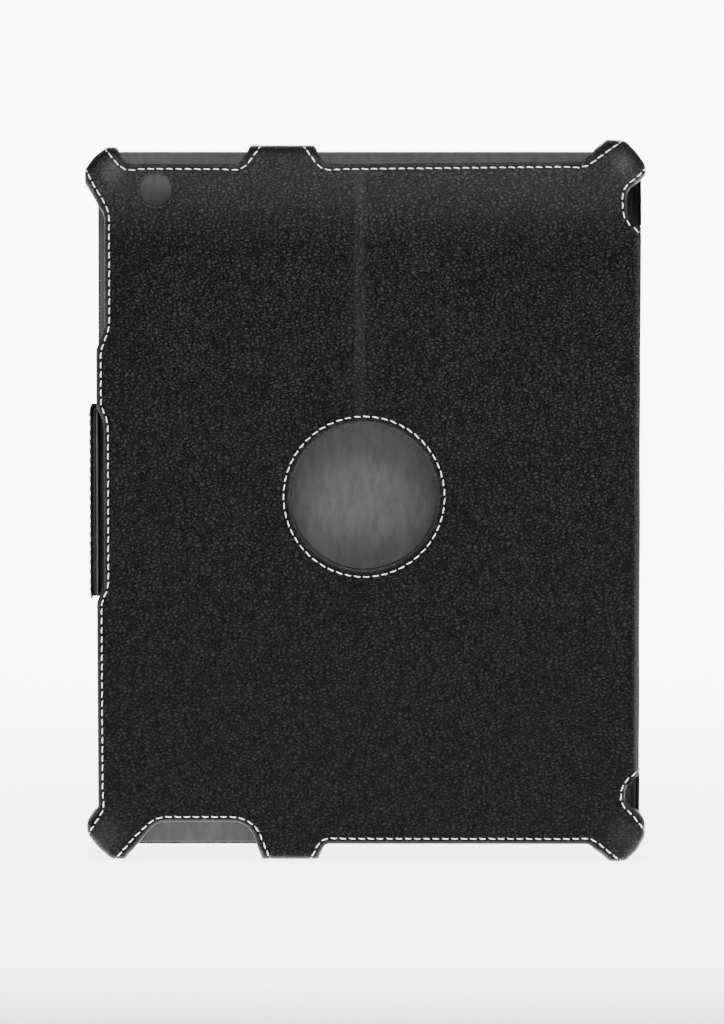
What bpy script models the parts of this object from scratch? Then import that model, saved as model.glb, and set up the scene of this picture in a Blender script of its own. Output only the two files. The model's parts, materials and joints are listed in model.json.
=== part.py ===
"""Folio case for a flat tablet, with a back that folds along a crease to make a stand.

The case stands upright and closed. X runs across the back, Z runs up, and -Y is the side
that the outside of the back faces. The origin is under the middle of the case, on the surface
that it stands on. Every length is in metres.

The back is two stiffened halves joined by a soft crease. Moulded corner cups and two small
tabs hold the tablet. A spine strip joins the back to the front cover, and a closure tab on
the cover's free edge folds round the side of the tablet.
"""

import math

import bmesh
import bpy

# ---------------------------------------------------------------- driving dimensions
# The tablet that the case holds
TABLET_WIDTH = 0.1857
TABLET_HEIGHT = 0.2412
TABLET_THICKNESS = 0.0094
TABLET_CORNER_RADIUS = 0.0100
POCKET_CLEARANCE = 0.0003
POCKET_SPARE_DEPTH = 0.0004

# Sheets, and the gap left for the glue between them
LEATHER = 0.0010
BOARD = 0.0012
LINING = 0.0006
LIP_INSERT = 0.0010
GLUE_GAP = 0.0003
BOARD_INSET = 0.0024
LINING_INSET = 0.0008

# Crease across the back, and the slit between the two rigid halves along it
CREASE_X = -0.0023
CREASE_SLIT = 0.0003

# Edges of the back, measured inwards from the tablet's own edges
TOP_EDGE_DROP = 0.0028
BOTTOM_EDGE_RISE = 0.0019
SIDE_EDGE_OVERHANG = 0.0006
BUTTON_CUT_DEPTH = 0.0024
BUTTON_CUT_SLOPE = 0.0080
GRIP_RECESS_DEPTH = 0.0018
GRIP_RECESS_FLARE = 0.0055
# The recess is this much shorter than the closure tab, and the full-width land above it is this long
GRIP_RECESS_SHORTER = 0.0105
BUTTON_LAND = 0.0196

# Tabs over the tablet's top and bottom edges
TAB_RISE = 0.0033
TAB_DROP = 0.0037
TAB_LIP = 0.0030
TOP_TAB_WIDTH = 0.0222
TOP_TAB_X = -0.0290
BOTTOM_TAB_WIDTH = 0.0198
BOTTOM_TAB_X = -0.0264
TAB_FLARE = 0.0034

# Speaker cut in the bottom edge, from the far corner to the bottom tab
SPEAKER_CUT_RISE = 0.0097
SPEAKER_CUT_SLOPE = 0.0110
SPEAKER_CUT_STEEP = 0.0043

# Round openings in the back
WINDOW_X = -0.0007
WINDOW_RISE = 0.0027
WINDOW_RADIUS = 0.0252
WINDOW_BOARD_MARGIN = 0.0036
CAMERA_INSET_X = 0.02015
CAMERA_INSET_Z = 0.0116
CAMERA_RADIUS = 0.00545
CAMERA_BOARD_MARGIN = 0.0012

# Spine strip between the two side slots
SPINE_END_TOP = 0.0243
SPINE_END_BOTTOM = 0.0255
SLOT_DEPTH = 0.0030
FOLD_RADIUS = 0.0005

# Front cover
COVER_RISE = 0.0009
COVER_CORNER_RADIUS = 0.0080
COVER_SIDE_MARGIN = 0.0003

# Closure tab on the cover's free edge
CLOSURE_LENGTH = 0.0675
CLOSURE_CHAMFER_TOP = 0.0030
CLOSURE_CHAMFER_BOTTOM = 0.0045
CLOSURE_LINING = 0.0005
CLOSURE_STIFFENER = 0.0008
CLOSURE_LEATHER = 0.0008
CLOSURE_INSET = 0.0016
MAGNET_LENGTH = 0.0120
MAGNET_WIDTH = 0.0060
MAGNET_SPACING = 0.0340

# Steel strip in the back that the closure magnets pull on, longer than them by its overlap
CATCH_OVERLAP = 0.0010
CATCH_WIDTH = 0.0050
CATCH_EDGE = 0.0030

# Corner cups: each corner as (outward along X, outward along Z, rounding) from the tablet's own corner
FAR_TOP_CUP = [
    (-0.0100, -0.0026, 0.0030),
    (-0.0064, 0.0027, 0.0015),
    (-0.0029, 0.0027, 0.0040),
    (0.00435, -0.0047, 0.0040),
    (0.00435, -0.0094, 0.0015),
    (-0.0024, -0.0205, 0.0060),
]
FAR_BOTTOM_CUP = [
    (0.0004, -0.0150, 0.0030),
    (0.00435, -0.0090, 0.0020),
    (0.00435, -0.0053, 0.0040),
    (-0.0042, 0.0037, 0.0040),
    (-0.0088, 0.0037, 0.0015),
]
SPINE_BOTTOM_CUP = [
    (-0.0154, -0.0018, 0.0030),
    (-0.0079, 0.0045, 0.0020),
    (-0.0026, 0.0045, 0.0040),
    (0.00435, -0.0043, 0.0050),
    (0.00435, -0.0094, 0.0020),
    (0.0011, -0.0138, 0.0008),
]
SPINE_TOP_CUP = [
    (0.0019, -0.0087, 0.0008),
    (0.00375, -0.0066, 0.0015),
    (0.00375, -0.0030, 0.0040),
    (-0.0029, 0.0050, 0.0040),
    (-0.0094, 0.0053, 0.0015),
    (-0.0186, -0.0019, 0.0040),
]
# Where each cup's lip crosses the tablet's side edge and its top or bottom edge, inwards from the corner
FAR_TOP_LIP = (0.0165, 0.0085)
FAR_BOTTOM_LIP = (0.0145, 0.0110)
SPINE_BOTTOM_LIP = (0.0125, 0.0130)
SPINE_TOP_LIP = (0.0080, 0.0155)

ARC_STEP = math.radians(15)
HOLE_SIDES = 48
BEYOND = 0.0300
CUT_MARGIN = 0.0020

# ---------------------------------------------------------------- places worked out from them
HALF_WIDTH = TABLET_WIDTH / 2
CORNER_DROP = max(cup[1] for cup in FAR_BOTTOM_CUP + SPINE_BOTTOM_CUP)
TABLET_BOTTOM = CORNER_DROP
TABLET_TOP = TABLET_BOTTOM + TABLET_HEIGHT
TABLET_MIDDLE = (TABLET_BOTTOM + TABLET_TOP) / 2

# Depths, counted from the outside of the back to the outside of the cover
BACK_LEATHER_FRONT = LEATHER
BACK_BOARD_BACK = BACK_LEATHER_FRONT + GLUE_GAP
BACK_BOARD_FRONT = BACK_BOARD_BACK + BOARD
BACK_LINING_BACK = BACK_BOARD_FRONT + GLUE_GAP
POCKET_BACK = BACK_LINING_BACK + LINING
POCKET_FRONT = POCKET_BACK + TABLET_THICKNESS + POCKET_SPARE_DEPTH
LIP_INSERT_FRONT = POCKET_FRONT + LIP_INSERT
LIP_LEATHER_BACK = LIP_INSERT_FRONT + GLUE_GAP
LIP_LEATHER_FRONT = LIP_LEATHER_BACK + LEATHER
COVER_LINING_BACK = LIP_LEATHER_FRONT + GLUE_GAP
COVER_LINING_FRONT = COVER_LINING_BACK + LINING
COVER_BOARD_BACK = COVER_LINING_FRONT + GLUE_GAP
COVER_BOARD_FRONT = COVER_BOARD_BACK + BOARD
COVER_LEATHER_BACK = COVER_BOARD_FRONT + GLUE_GAP
DEPTH = COVER_LEATHER_BACK + LEATHER

# Spine strip: lining against the tablet's side, leather outside it
SPINE_LINING_IN = HALF_WIDTH + POCKET_CLEARANCE
SPINE_LINING_OUT = SPINE_LINING_IN + LINING
SPINE_LEATHER_IN = SPINE_LINING_OUT + GLUE_GAP
SPINE_LEATHER_OUT = SPINE_LEATHER_IN + LEATHER
SPINE_FOLD_X = SPINE_LEATHER_OUT - FOLD_RADIUS
SPINE_FOLD_GAP = FOLD_RADIUS + GLUE_GAP + LEATHER / 2
SPINE_TOP = TABLET_TOP - SPINE_END_TOP
SPINE_BOTTOM = TABLET_BOTTOM + SPINE_END_BOTTOM

# Closure tab: lining against the tablet's side, then stiffener, then leather
CLOSURE_LINING_IN = HALF_WIDTH + POCKET_CLEARANCE
CLOSURE_LINING_OUT = CLOSURE_LINING_IN + CLOSURE_LINING
CLOSURE_STIFFENER_IN = CLOSURE_LINING_OUT + GLUE_GAP
CLOSURE_STIFFENER_OUT = CLOSURE_STIFFENER_IN + CLOSURE_STIFFENER
CLOSURE_LEATHER_IN = CLOSURE_STIFFENER_OUT + GLUE_GAP
CLOSURE_LEATHER_OUT = CLOSURE_LEATHER_IN + CLOSURE_LEATHER
CLOSURE_FOLD_X = -(CLOSURE_LEATHER_OUT - FOLD_RADIUS)
CLOSURE_BOTTOM = TABLET_MIDDLE - CLOSURE_LENGTH / 2
CLOSURE_TOP = TABLET_MIDDLE + CLOSURE_LENGTH / 2
CLOSURE_FREE_EDGE = POCKET_BACK + GLUE_GAP
GRIP_RECESS_LENGTH = CLOSURE_LENGTH - GRIP_RECESS_SHORTER
CATCH_LENGTH = MAGNET_SPACING + MAGNET_LENGTH + 2 * CATCH_OVERLAP

WINDOW_Z = TABLET_MIDDLE + WINDOW_RISE
CAMERA_X = -HALF_WIDTH + CAMERA_INSET_X
CAMERA_Z = TABLET_TOP - CAMERA_INSET_Z


# ---------------------------------------------------------------- outlines
def edge_direction(start, end):
    length = math.hypot(end[0] - start[0], end[1] - start[1])
    return (end[0] - start[0]) / length, (end[1] - start[1]) / length, length


def turning(points):
    """Twice the outline's area, positive where it runs anticlockwise as X to the right and Z up."""
    total = 0.0
    for n, (x, z, _) in enumerate(points):
        x_next, z_next, _ = points[(n + 1) % len(points)]
        total += x * z_next - x_next * z
    return total


def inset(points, distance):
    """The outline moved inwards by a distance, with its roundings changed to match."""
    side = 1.0 if turning(points) > 0 else -1.0
    moved = []
    for n, (x, z, radius) in enumerate(points):
        in_x, in_z, _ = edge_direction(points[n - 1], (x, z))
        out_x, out_z, _ = edge_direction((x, z), points[(n + 1) % len(points)])
        cross = in_x * out_z - in_z * out_x
        dot = in_x * out_x + in_z * out_z
        shift_x = -side * (in_z + out_z) * distance / (1.0 + dot)
        shift_z = side * (in_x + out_x) * distance / (1.0 + dot)
        bulges_out = cross * side > 0
        new_radius = max(radius - distance, 0.0002) if bulges_out else radius + distance
        moved.append((x + shift_x, z + shift_z, new_radius if radius else 0.0))
    return moved


def rounded(points):
    """The outline's points in the XZ plane, with each corner drawn as an arc of its own radius."""
    outline = []
    for n, (x, z, radius) in enumerate(points):
        in_x, in_z, in_length = edge_direction(points[n - 1], (x, z))
        out_x, out_z, out_length = edge_direction((x, z), points[(n + 1) % len(points)])
        cross = in_x * out_z - in_z * out_x
        dot = in_x * out_x + in_z * out_z
        turn = math.atan2(cross, dot)
        if not radius or abs(turn) < ARC_STEP / 4:
            outline.append((x, z))
            continue
        reach = abs(math.tan(turn / 2))
        radius = min(radius, 0.49 * min(in_length, out_length) / reach)
        start_x = x - in_x * radius * reach
        start_z = z - in_z * radius * reach
        side = math.copysign(1.0, turn)
        centre_x = start_x - side * in_z * radius
        centre_z = start_z + side * in_x * radius
        steps = max(2, round(abs(turn) / ARC_STEP))
        for step in range(steps + 1):
            angle = turn * step / steps
            from_x = start_x - centre_x
            from_z = start_z - centre_z
            outline.append(
                (
                    centre_x + from_x * math.cos(angle) - from_z * math.sin(angle),
                    centre_z + from_x * math.sin(angle) + from_z * math.cos(angle),
                )
            )
    return outline


def box_outline(left, bottom, right, top, radius=0.0):
    return [
        (left, bottom, radius),
        (right, bottom, radius),
        (right, top, radius),
        (left, top, radius),
    ]


def at_corner(cup, side, end):
    """A cup's points placed at a corner: side is -1 or 1 along X, end is -1 or 1 along Z."""
    edge_z = TABLET_TOP if end > 0 else TABLET_BOTTOM
    return [(side * (HALF_WIDTH + x), edge_z + end * z, radius) for x, z, radius in cup]


def far_half_outline():
    """The half of the back away from the spine, anticlockwise from the top of the crease."""
    crease = CREASE_X - CREASE_SLIT / 2
    top = TABLET_TOP - TOP_EDGE_DROP
    bottom = TABLET_BOTTOM + BOTTOM_EDGE_RISE
    side = -HALF_WIDTH - SIDE_EDGE_OVERHANG
    button_side = -HALF_WIDTH + BUTTON_CUT_DEPTH
    grip_side = -HALF_WIDTH + GRIP_RECESS_DEPTH
    grip_top = TABLET_MIDDLE + GRIP_RECESS_LENGTH / 2
    grip_bottom = TABLET_MIDDLE - GRIP_RECESS_LENGTH / 2
    land_bottom = grip_top + GRIP_RECESS_FLARE
    land_top = land_bottom + BUTTON_LAND
    top_tab = TABLET_TOP + TAB_RISE
    bottom_tab = TABLET_BOTTOM - TAB_DROP
    foot = at_corner(FAR_BOTTOM_CUP, -1, -1)[-1]
    speaker_top = TABLET_BOTTOM + SPEAKER_CUT_RISE
    tab_left = BOTTOM_TAB_X - BOTTOM_TAB_WIDTH / 2
    tab_right = BOTTOM_TAB_X + BOTTOM_TAB_WIDTH / 2
    return [
        (crease, top, 0.0),
        (TOP_TAB_X + TOP_TAB_WIDTH / 2 + TAB_FLARE, top, 0.0040),
        (TOP_TAB_X + TOP_TAB_WIDTH / 2, top_tab, 0.0012),
        (TOP_TAB_X - TOP_TAB_WIDTH / 2, top_tab, 0.0012),
        (TOP_TAB_X - TOP_TAB_WIDTH / 2 - TAB_FLARE, top, 0.0040),
        *at_corner(FAR_TOP_CUP, -1, 1),
        (button_side, land_top + BUTTON_CUT_SLOPE, 0.0040),
        (side, land_top, 0.0040),
        (side, land_bottom, 0.0060),
        (grip_side, grip_top, 0.0060),
        (grip_side, grip_bottom, 0.0060),
        (side, grip_bottom - GRIP_RECESS_FLARE, 0.0060),
        *at_corner(FAR_BOTTOM_CUP, -1, -1),
        (foot[0] + SPEAKER_CUT_SLOPE, speaker_top, 0.0070),
        (tab_left - SPEAKER_CUT_STEEP, speaker_top, 0.0080),
        (tab_left, bottom_tab, 0.0010),
        (tab_right, bottom_tab, 0.0010),
        (tab_right + 0.6 * TAB_FLARE, bottom, 0.0025),
        (crease, bottom, 0.0),
    ]


def spine_half_outline():
    """The half of the back next to the spine, anticlockwise from the bottom of the crease."""
    crease = CREASE_X + CREASE_SLIT / 2
    slot_x = HALF_WIDTH + POCKET_CLEARANCE - SLOT_DEPTH
    bottom_cup = at_corner(SPINE_BOTTOM_CUP, 1, -1)
    top_cup = at_corner(SPINE_TOP_CUP, 1, 1)
    slot_low = bottom_cup[-1][1] + SLOT_DEPTH
    slot_high = top_cup[0][1] - SLOT_DEPTH
    return [
        (crease, TABLET_BOTTOM + BOTTOM_EDGE_RISE, 0.0),
        *bottom_cup,
        (slot_x, slot_low, 0.0025),
        (slot_x, SPINE_BOTTOM - 1.4 * SLOT_DEPTH, 0.0040),
        (SPINE_LEATHER_IN, SPINE_BOTTOM, 0.0006),
        (SPINE_LEATHER_IN, SPINE_TOP, 0.0006),
        (slot_x, SPINE_TOP + 1.4 * SLOT_DEPTH, 0.0040),
        (slot_x, slot_high, 0.0040),
        *top_cup,
        (crease, TABLET_TOP - TOP_EDGE_DROP, 0.0),
    ]


def lip_line(lip, side, end):
    """Where a cup's lip meets the tablet's side edge, and where it meets the top or bottom edge."""
    edge_z = TABLET_TOP if end > 0 else TABLET_BOTTOM
    on_side = (side * HALF_WIDTH, edge_z - end * lip[0])
    on_end = (side * (HALF_WIDTH - lip[1]), edge_z)
    return on_side, on_end


def stretched(start, end, reach):
    """A point past the end of a line, away from its start."""
    along_x, along_z, _ = edge_direction(start, end)
    return end[0] + along_x * reach, end[1] + along_z * reach


def grown_line(line, grow):
    """A lip's line moved towards its corner, which shortens the lip."""
    (x1, z1), (x2, z2) = line
    along_x, along_z, _ = edge_direction((x1, z1), (x2, z2))
    side = math.copysign(1.0, x1)
    end = 1.0 if z1 < z2 else -1.0
    out_x, out_z = abs(along_z) * side, abs(along_x) * end
    return (x1 + out_x * grow, z1 + out_z * grow), (x2 + out_x * grow, z2 + out_z * grow)


def opened_outline(grow):
    """All of the front but the corner lips and the two tab lips, each shortened by grow."""
    lines = [
        grown_line(lip_line(FAR_TOP_LIP, -1, 1), grow),
        grown_line(lip_line(FAR_BOTTOM_LIP, -1, -1), grow),
        grown_line(lip_line(SPINE_BOTTOM_LIP, 1, -1), grow),
        grown_line(lip_line(SPINE_TOP_LIP, 1, 1), grow),
    ]
    far_top, far_bottom, spine_bottom, spine_top = [
        (stretched(on_end, on_side, BEYOND / 2), stretched(on_side, on_end, BEYOND / 2))
        for on_side, on_end in lines
    ]
    high = TABLET_TOP + BEYOND
    low = TABLET_BOTTOM - BEYOND
    top_lip = TABLET_TOP - TAB_LIP + grow
    bottom_lip = TABLET_BOTTOM + TAB_LIP - grow
    top_left = TOP_TAB_X - TOP_TAB_WIDTH / 2 - TAB_FLARE
    top_right = TOP_TAB_X + TOP_TAB_WIDTH / 2 + TAB_FLARE
    bottom_left = BOTTOM_TAB_X - BOTTOM_TAB_WIDTH / 2 - SPEAKER_CUT_STEEP
    bottom_right = BOTTOM_TAB_X + BOTTOM_TAB_WIDTH / 2 + TAB_FLARE
    corners = [
        (top_right, high),
        (top_right, top_lip),
        (top_left, top_lip),
        (top_left, high),
        (far_top[1][0], high),
        far_top[1],
        far_top[0],
        (-HALF_WIDTH - BEYOND, far_top[0][1]),
        (-HALF_WIDTH - BEYOND, far_bottom[0][1]),
        far_bottom[0],
        far_bottom[1],
        (far_bottom[1][0], low),
        (bottom_left, low),
        (bottom_left, bottom_lip),
        (bottom_right, bottom_lip),
        (bottom_right, low),
        (spine_bottom[1][0], low),
        spine_bottom[1],
        spine_bottom[0],
        (HALF_WIDTH + BEYOND, spine_bottom[0][1]),
        (HALF_WIDTH + BEYOND, spine_top[0][1]),
        spine_top[0],
        spine_top[1],
        (spine_top[1][0], high),
    ]
    return [(x, z, 0.0) for x, z in corners]


def pocket_outline(margin):
    """The tablet's own outline with a margin round it."""
    return box_outline(
        -HALF_WIDTH - margin,
        TABLET_BOTTOM - margin,
        HALF_WIDTH + margin,
        TABLET_TOP + margin,
        TABLET_CORNER_RADIUS + margin,
    )


# ---------------------------------------------------------------- solids
def made_material(name, color, roughness, metallic=0.0):
    material = bpy.data.materials.new(name)
    material.use_nodes = True
    shader = material.node_tree.nodes["Principled BSDF"]
    shader.inputs["Base Color"].default_value = (*color, 1.0)
    shader.inputs["Roughness"].default_value = roughness
    shader.inputs["Metallic"].default_value = metallic
    material.diffuse_color = (*color, 1.0)
    return material


def prism(name, outline, back, front):
    """A flat solid with an outline in the XZ plane, between two depths behind the outside of the back."""
    bm = bmesh.new()
    base = -DEPTH / 2
    ring_back = [bm.verts.new((x, base + back, z)) for x, z in outline]
    ring_front = [bm.verts.new((x, base + front, z)) for x, z in outline]
    bm.faces.new(ring_back)
    bm.faces.new(reversed(ring_front))
    for n in range(len(outline)):
        after = (n + 1) % len(outline)
        bm.faces.new((ring_back[n], ring_front[n], ring_front[after], ring_back[after]))
    bmesh.ops.recalc_face_normals(bm, faces=bm.faces)
    mesh = bpy.data.meshes.new(name)
    bm.to_mesh(mesh)
    bm.free()
    solid = bpy.data.objects.new(name, mesh)
    bpy.context.scene.collection.objects.link(solid)
    return solid


def cutter(name, outline, back, front):
    guide = prism(name, outline, back, front)
    guide.hide_render = True
    guide.display_type = "WIRE"
    return guide


def round_cutter(name, x, z, radius):
    """A round hole's cutter, right through the back."""
    outline = []
    for n in range(HOLE_SIDES):
        angle = 2 * math.pi * n / HOLE_SIDES
        outline.append((x + radius * math.cos(angle), z + radius * math.sin(angle)))
    return cutter(name, outline, -CUT_MARGIN, POCKET_BACK + CUT_MARGIN)


def cut(solid, guide, operation="DIFFERENCE"):
    modifier = solid.modifiers.new(guide.name, "BOOLEAN")
    modifier.operation = operation
    modifier.solver = "EXACT"
    modifier.object = guide
    return solid


def axis_empty(name, x, depth, parent):
    """An empty on a fold line, which the pieces past the fold hang from."""
    empty = bpy.data.objects.new(name, None)
    bpy.context.scene.collection.objects.link(empty)
    place = (x, -DEPTH / 2 + depth, TABLET_MIDDLE)
    empty.location = place
    if parent:
        empty.parent = parent
        empty.location = [a - b for a, b in zip(place, parent["place"])]
    empty["place"] = place
    return empty


def hang(solid, empty, material):
    """Gives a piece its material, and its origin to the fold line that it turns on."""
    place = empty["place"]
    for vertex in solid.data.vertices:
        vertex.co = [a - b for a, b in zip(vertex.co, place)]
    solid.parent = empty
    solid.data.materials.append(material)
    return solid


# ---------------------------------------------------------------- the back
def back_half(half, outline, empty, materials, guides):
    """One half of the back: its leather, its board and its lining."""
    leather = prism(f"{half}_back_leather", rounded(outline), 0.0, LIP_LEATHER_FRONT)
    hollow = rounded(inset(outline, LEATHER))
    cut(leather, cutter(f"{half}_hollow", hollow, LEATHER, LIP_LEATHER_BACK))
    cut(leather, guides["opened"])
    cut(leather, guides["pocket_for_leather"])
    cut(leather, guides["window_leather"])

    board_outline = rounded(inset(outline, BOARD_INSET))
    board = prism(f"{half}_back_board", board_outline, BACK_BOARD_BACK, BACK_BOARD_FRONT)
    cut(board, guides["board_area"], "INTERSECT")
    cut(board, guides["window_board"])

    lining_outline = rounded(inset(outline, LINING_INSET))
    lining = prism(f"{half}_back_lining", lining_outline, BACK_LINING_BACK, POCKET_BACK)
    cut(lining, guides["lining_area"], "INTERSECT")
    cut(lining, guides["window_lining"])

    hang(leather, empty, materials["leather"])
    hang(board, empty, materials["board"])
    hang(lining, empty, materials["lining"])
    return leather, board, lining


def moulded_insert(name, outline, region, empty, material, guides):
    """The stiff core of a cup or a tab: its floor, its wall and its lip, inside the leather."""
    core = rounded(inset(outline, LEATHER + GLUE_GAP))
    insert = prism(name, core, BACK_BOARD_BACK, LIP_INSERT_FRONT)
    area = cutter(f"{name}_region", region, 0.0, DEPTH)
    cut(insert, area, "INTERSECT")
    cut(insert, guides["opened_for_inserts"])
    cut(insert, guides["pocket_for_inserts"])
    return hang(insert, empty, material)


def corner_region(side, end):
    """A square round one corner of the tablet, large enough for its whole cup."""
    reach = 0.0260
    edge_x = side * (HALF_WIDTH + 0.0100)
    edge_z = (TABLET_TOP if end > 0 else TABLET_BOTTOM) + end * 0.0100
    x_low, x_high = sorted((edge_x, edge_x - side * (reach + 0.0050)))
    z_low, z_high = sorted((edge_z, edge_z - end * (reach + 0.0050)))
    return [(x_low, z_low), (x_high, z_low), (x_high, z_high), (x_low, z_high)]


def tab_region(x, width, end):
    edge_z = (TABLET_TOP if end > 0 else TABLET_BOTTOM) + end * 0.0100
    z_low, z_high = sorted((edge_z, edge_z - end * 0.0200))
    left = x - width / 2
    right = x + width / 2
    return [(left, z_low), (right, z_low), (right, z_high), (left, z_high)]


def back_guides():
    """The shapes that cut the back's pieces to fit the tablet, the openings and each other."""
    opened = rounded(opened_outline(0.0))
    opened_more = rounded(opened_outline(LEATHER / 2))
    pocket = rounded(pocket_outline(POCKET_CLEARANCE))
    board_area = rounded(opened_outline(LEATHER / 2 - GLUE_GAP))
    lining_area = rounded(pocket_outline(0.0))
    front = DEPTH + CUT_MARGIN
    guides = {
        "opened": cutter("front_open", opened, LEATHER, front),
        "opened_for_inserts": cutter("inserts_open", opened_more, 0.0, front),
        "pocket_for_leather": cutter("leather_pocket", pocket, LEATHER, LIP_LEATHER_BACK),
        "pocket_for_inserts": cutter("insert_pocket", pocket, BACK_BOARD_FRONT, POCKET_FRONT),
        "board_area": cutter("board_area", board_area, 0.0, POCKET_FRONT),
        "lining_area": cutter("lining_area", lining_area, 0.0, POCKET_FRONT),
    }
    window_board = WINDOW_RADIUS + WINDOW_BOARD_MARGIN
    guides["window_leather"] = round_cutter("window_leather", WINDOW_X, WINDOW_Z, WINDOW_RADIUS)
    guides["window_board"] = round_cutter("window_board", WINDOW_X, WINDOW_Z, window_board)
    guides["window_lining"] = round_cutter("window_lining", WINDOW_X, WINDOW_Z, WINDOW_RADIUS)
    return guides


def camera_hole(leather, board, lining):
    for solid, margin in ((leather, 0.0), (board, CAMERA_BOARD_MARGIN), (lining, 0.0)):
        hole = round_cutter(f"{solid.name}_camera", CAMERA_X, CAMERA_Z, CAMERA_RADIUS + margin)
        cut(solid, hole)


def catch_strip(board, empty, material):
    """The steel strip that the closure magnets pull on, let into the far board's edge."""
    left = -HALF_WIDTH + GRIP_RECESS_DEPTH + BOARD_INSET + CATCH_EDGE
    bottom = TABLET_MIDDLE - CATCH_LENGTH / 2
    top = TABLET_MIDDLE + CATCH_LENGTH / 2
    strip_outline = box_outline(left, bottom, left + CATCH_WIDTH, top)
    seat_outline = rounded(inset(strip_outline, -GLUE_GAP))
    strip = prism("catch_strip", rounded(strip_outline), BACK_BOARD_BACK, BACK_BOARD_FRONT)
    cut(board, cutter("catch_seat", seat_outline, 0.0, POCKET_BACK))
    return hang(strip, empty, material)


# ---------------------------------------------------------------- spine, cover and closure tab
def spine_strip(empty, materials):
    """Leather and lining along the side between the two slots."""
    back = SPINE_FOLD_GAP + FOLD_RADIUS - LEATHER / 2
    front = DEPTH - back
    leather_outline = rounded(box_outline(SPINE_LEATHER_IN, SPINE_BOTTOM, SPINE_LEATHER_OUT, SPINE_TOP))
    lining_outline = rounded(
        box_outline(
            SPINE_LINING_IN,
            SPINE_BOTTOM + LINING_INSET,
            SPINE_LINING_OUT,
            SPINE_TOP - LINING_INSET,
        )
    )
    leather = prism("spine_leather", leather_outline, back, front)
    lining = prism("spine_lining", lining_outline, POCKET_BACK + GLUE_GAP, COVER_LINING_BACK - GLUE_GAP)
    hang(leather, empty, materials["leather"])
    hang(lining, empty, materials["lining"])


def cover_outline(with_tongue):
    """The front cover, with the tongue of leather that carries the closure tab."""
    left = -HALF_WIDTH - COVER_SIDE_MARGIN
    bottom = TABLET_BOTTOM
    top = TABLET_TOP + COVER_RISE
    tongue_left = CLOSURE_FOLD_X + FOLD_RADIUS
    radius = COVER_CORNER_RADIUS
    outline = [
        (left, bottom, radius),
        (SPINE_LEATHER_IN, bottom, radius),
        (SPINE_LEATHER_IN, top, radius),
        (left, top, radius),
    ]
    if with_tongue:
        outline += [
            (left, CLOSURE_TOP, 0.0),
            (tongue_left, CLOSURE_TOP, 0.0),
            (tongue_left, CLOSURE_BOTTOM, 0.0),
            (left, CLOSURE_BOTTOM, 0.0),
        ]
    return outline


def front_cover(empty, materials):
    leather_outline = rounded(cover_outline(True))
    board_outline = rounded(inset(cover_outline(False), BOARD_INSET))
    lining_outline = rounded(inset(cover_outline(False), LINING_INSET))
    leather = prism("cover_leather", leather_outline, COVER_LEATHER_BACK, DEPTH)
    board = prism("cover_board", board_outline, COVER_BOARD_BACK, COVER_BOARD_FRONT)
    lining = prism("cover_lining", lining_outline, COVER_LINING_BACK, COVER_LINING_FRONT)
    hang(leather, empty, materials["leather"])
    hang(board, empty, materials["board"])
    hang(lining, empty, materials["lining"])


def closure_layer(name, inner, outer, trim):
    """A layer of the closure tab, with its free corners cut off. Trim shortens it all round."""
    hinge_depth = DEPTH - FOLD_RADIUS - SPINE_FOLD_GAP + FOLD_RADIUS - LEATHER / 2
    free_depth = CLOSURE_FREE_EDGE + trim
    bottom = CLOSURE_BOTTOM + trim
    top = CLOSURE_TOP - trim
    side = [
        (hinge_depth, bottom),
        (hinge_depth, top),
        (free_depth + CLOSURE_CHAMFER_TOP, top),
        (free_depth, top - CLOSURE_CHAMFER_TOP),
        (free_depth, bottom + CLOSURE_CHAMFER_BOTTOM),
        (free_depth + CLOSURE_CHAMFER_BOTTOM, bottom),
    ]
    return side_prism(name, side, -outer, -inner)


def side_prism(name, side, left, right):
    """A flat solid with an outline in the YZ plane, as (depth, z), between two places along X."""
    bm = bmesh.new()
    base = -DEPTH / 2
    ring_left = [bm.verts.new((left, base + depth, z)) for depth, z in side]
    ring_right = [bm.verts.new((right, base + depth, z)) for depth, z in side]
    bm.faces.new(ring_left)
    bm.faces.new(reversed(ring_right))
    for n in range(len(side)):
        after = (n + 1) % len(side)
        bm.faces.new((ring_left[n], ring_right[n], ring_right[after], ring_left[after]))
    bmesh.ops.recalc_face_normals(bm, faces=bm.faces)
    mesh = bpy.data.meshes.new(name)
    bm.to_mesh(mesh)
    bm.free()
    solid = bpy.data.objects.new(name, mesh)
    bpy.context.scene.collection.objects.link(solid)
    return solid


def magnet_outline(middle, grow):
    """A magnet's outline in the closure tab, as (depth, z), with grow all round it."""
    centre = (CLOSURE_FREE_EDGE + COVER_LINING_BACK) / 2
    half_width = MAGNET_WIDTH / 2 + grow
    half_length = MAGNET_LENGTH / 2 + grow
    return [
        (centre - half_width, middle - half_length),
        (centre + half_width, middle - half_length),
        (centre + half_width, middle + half_length),
        (centre - half_width, middle + half_length),
    ]


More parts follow.
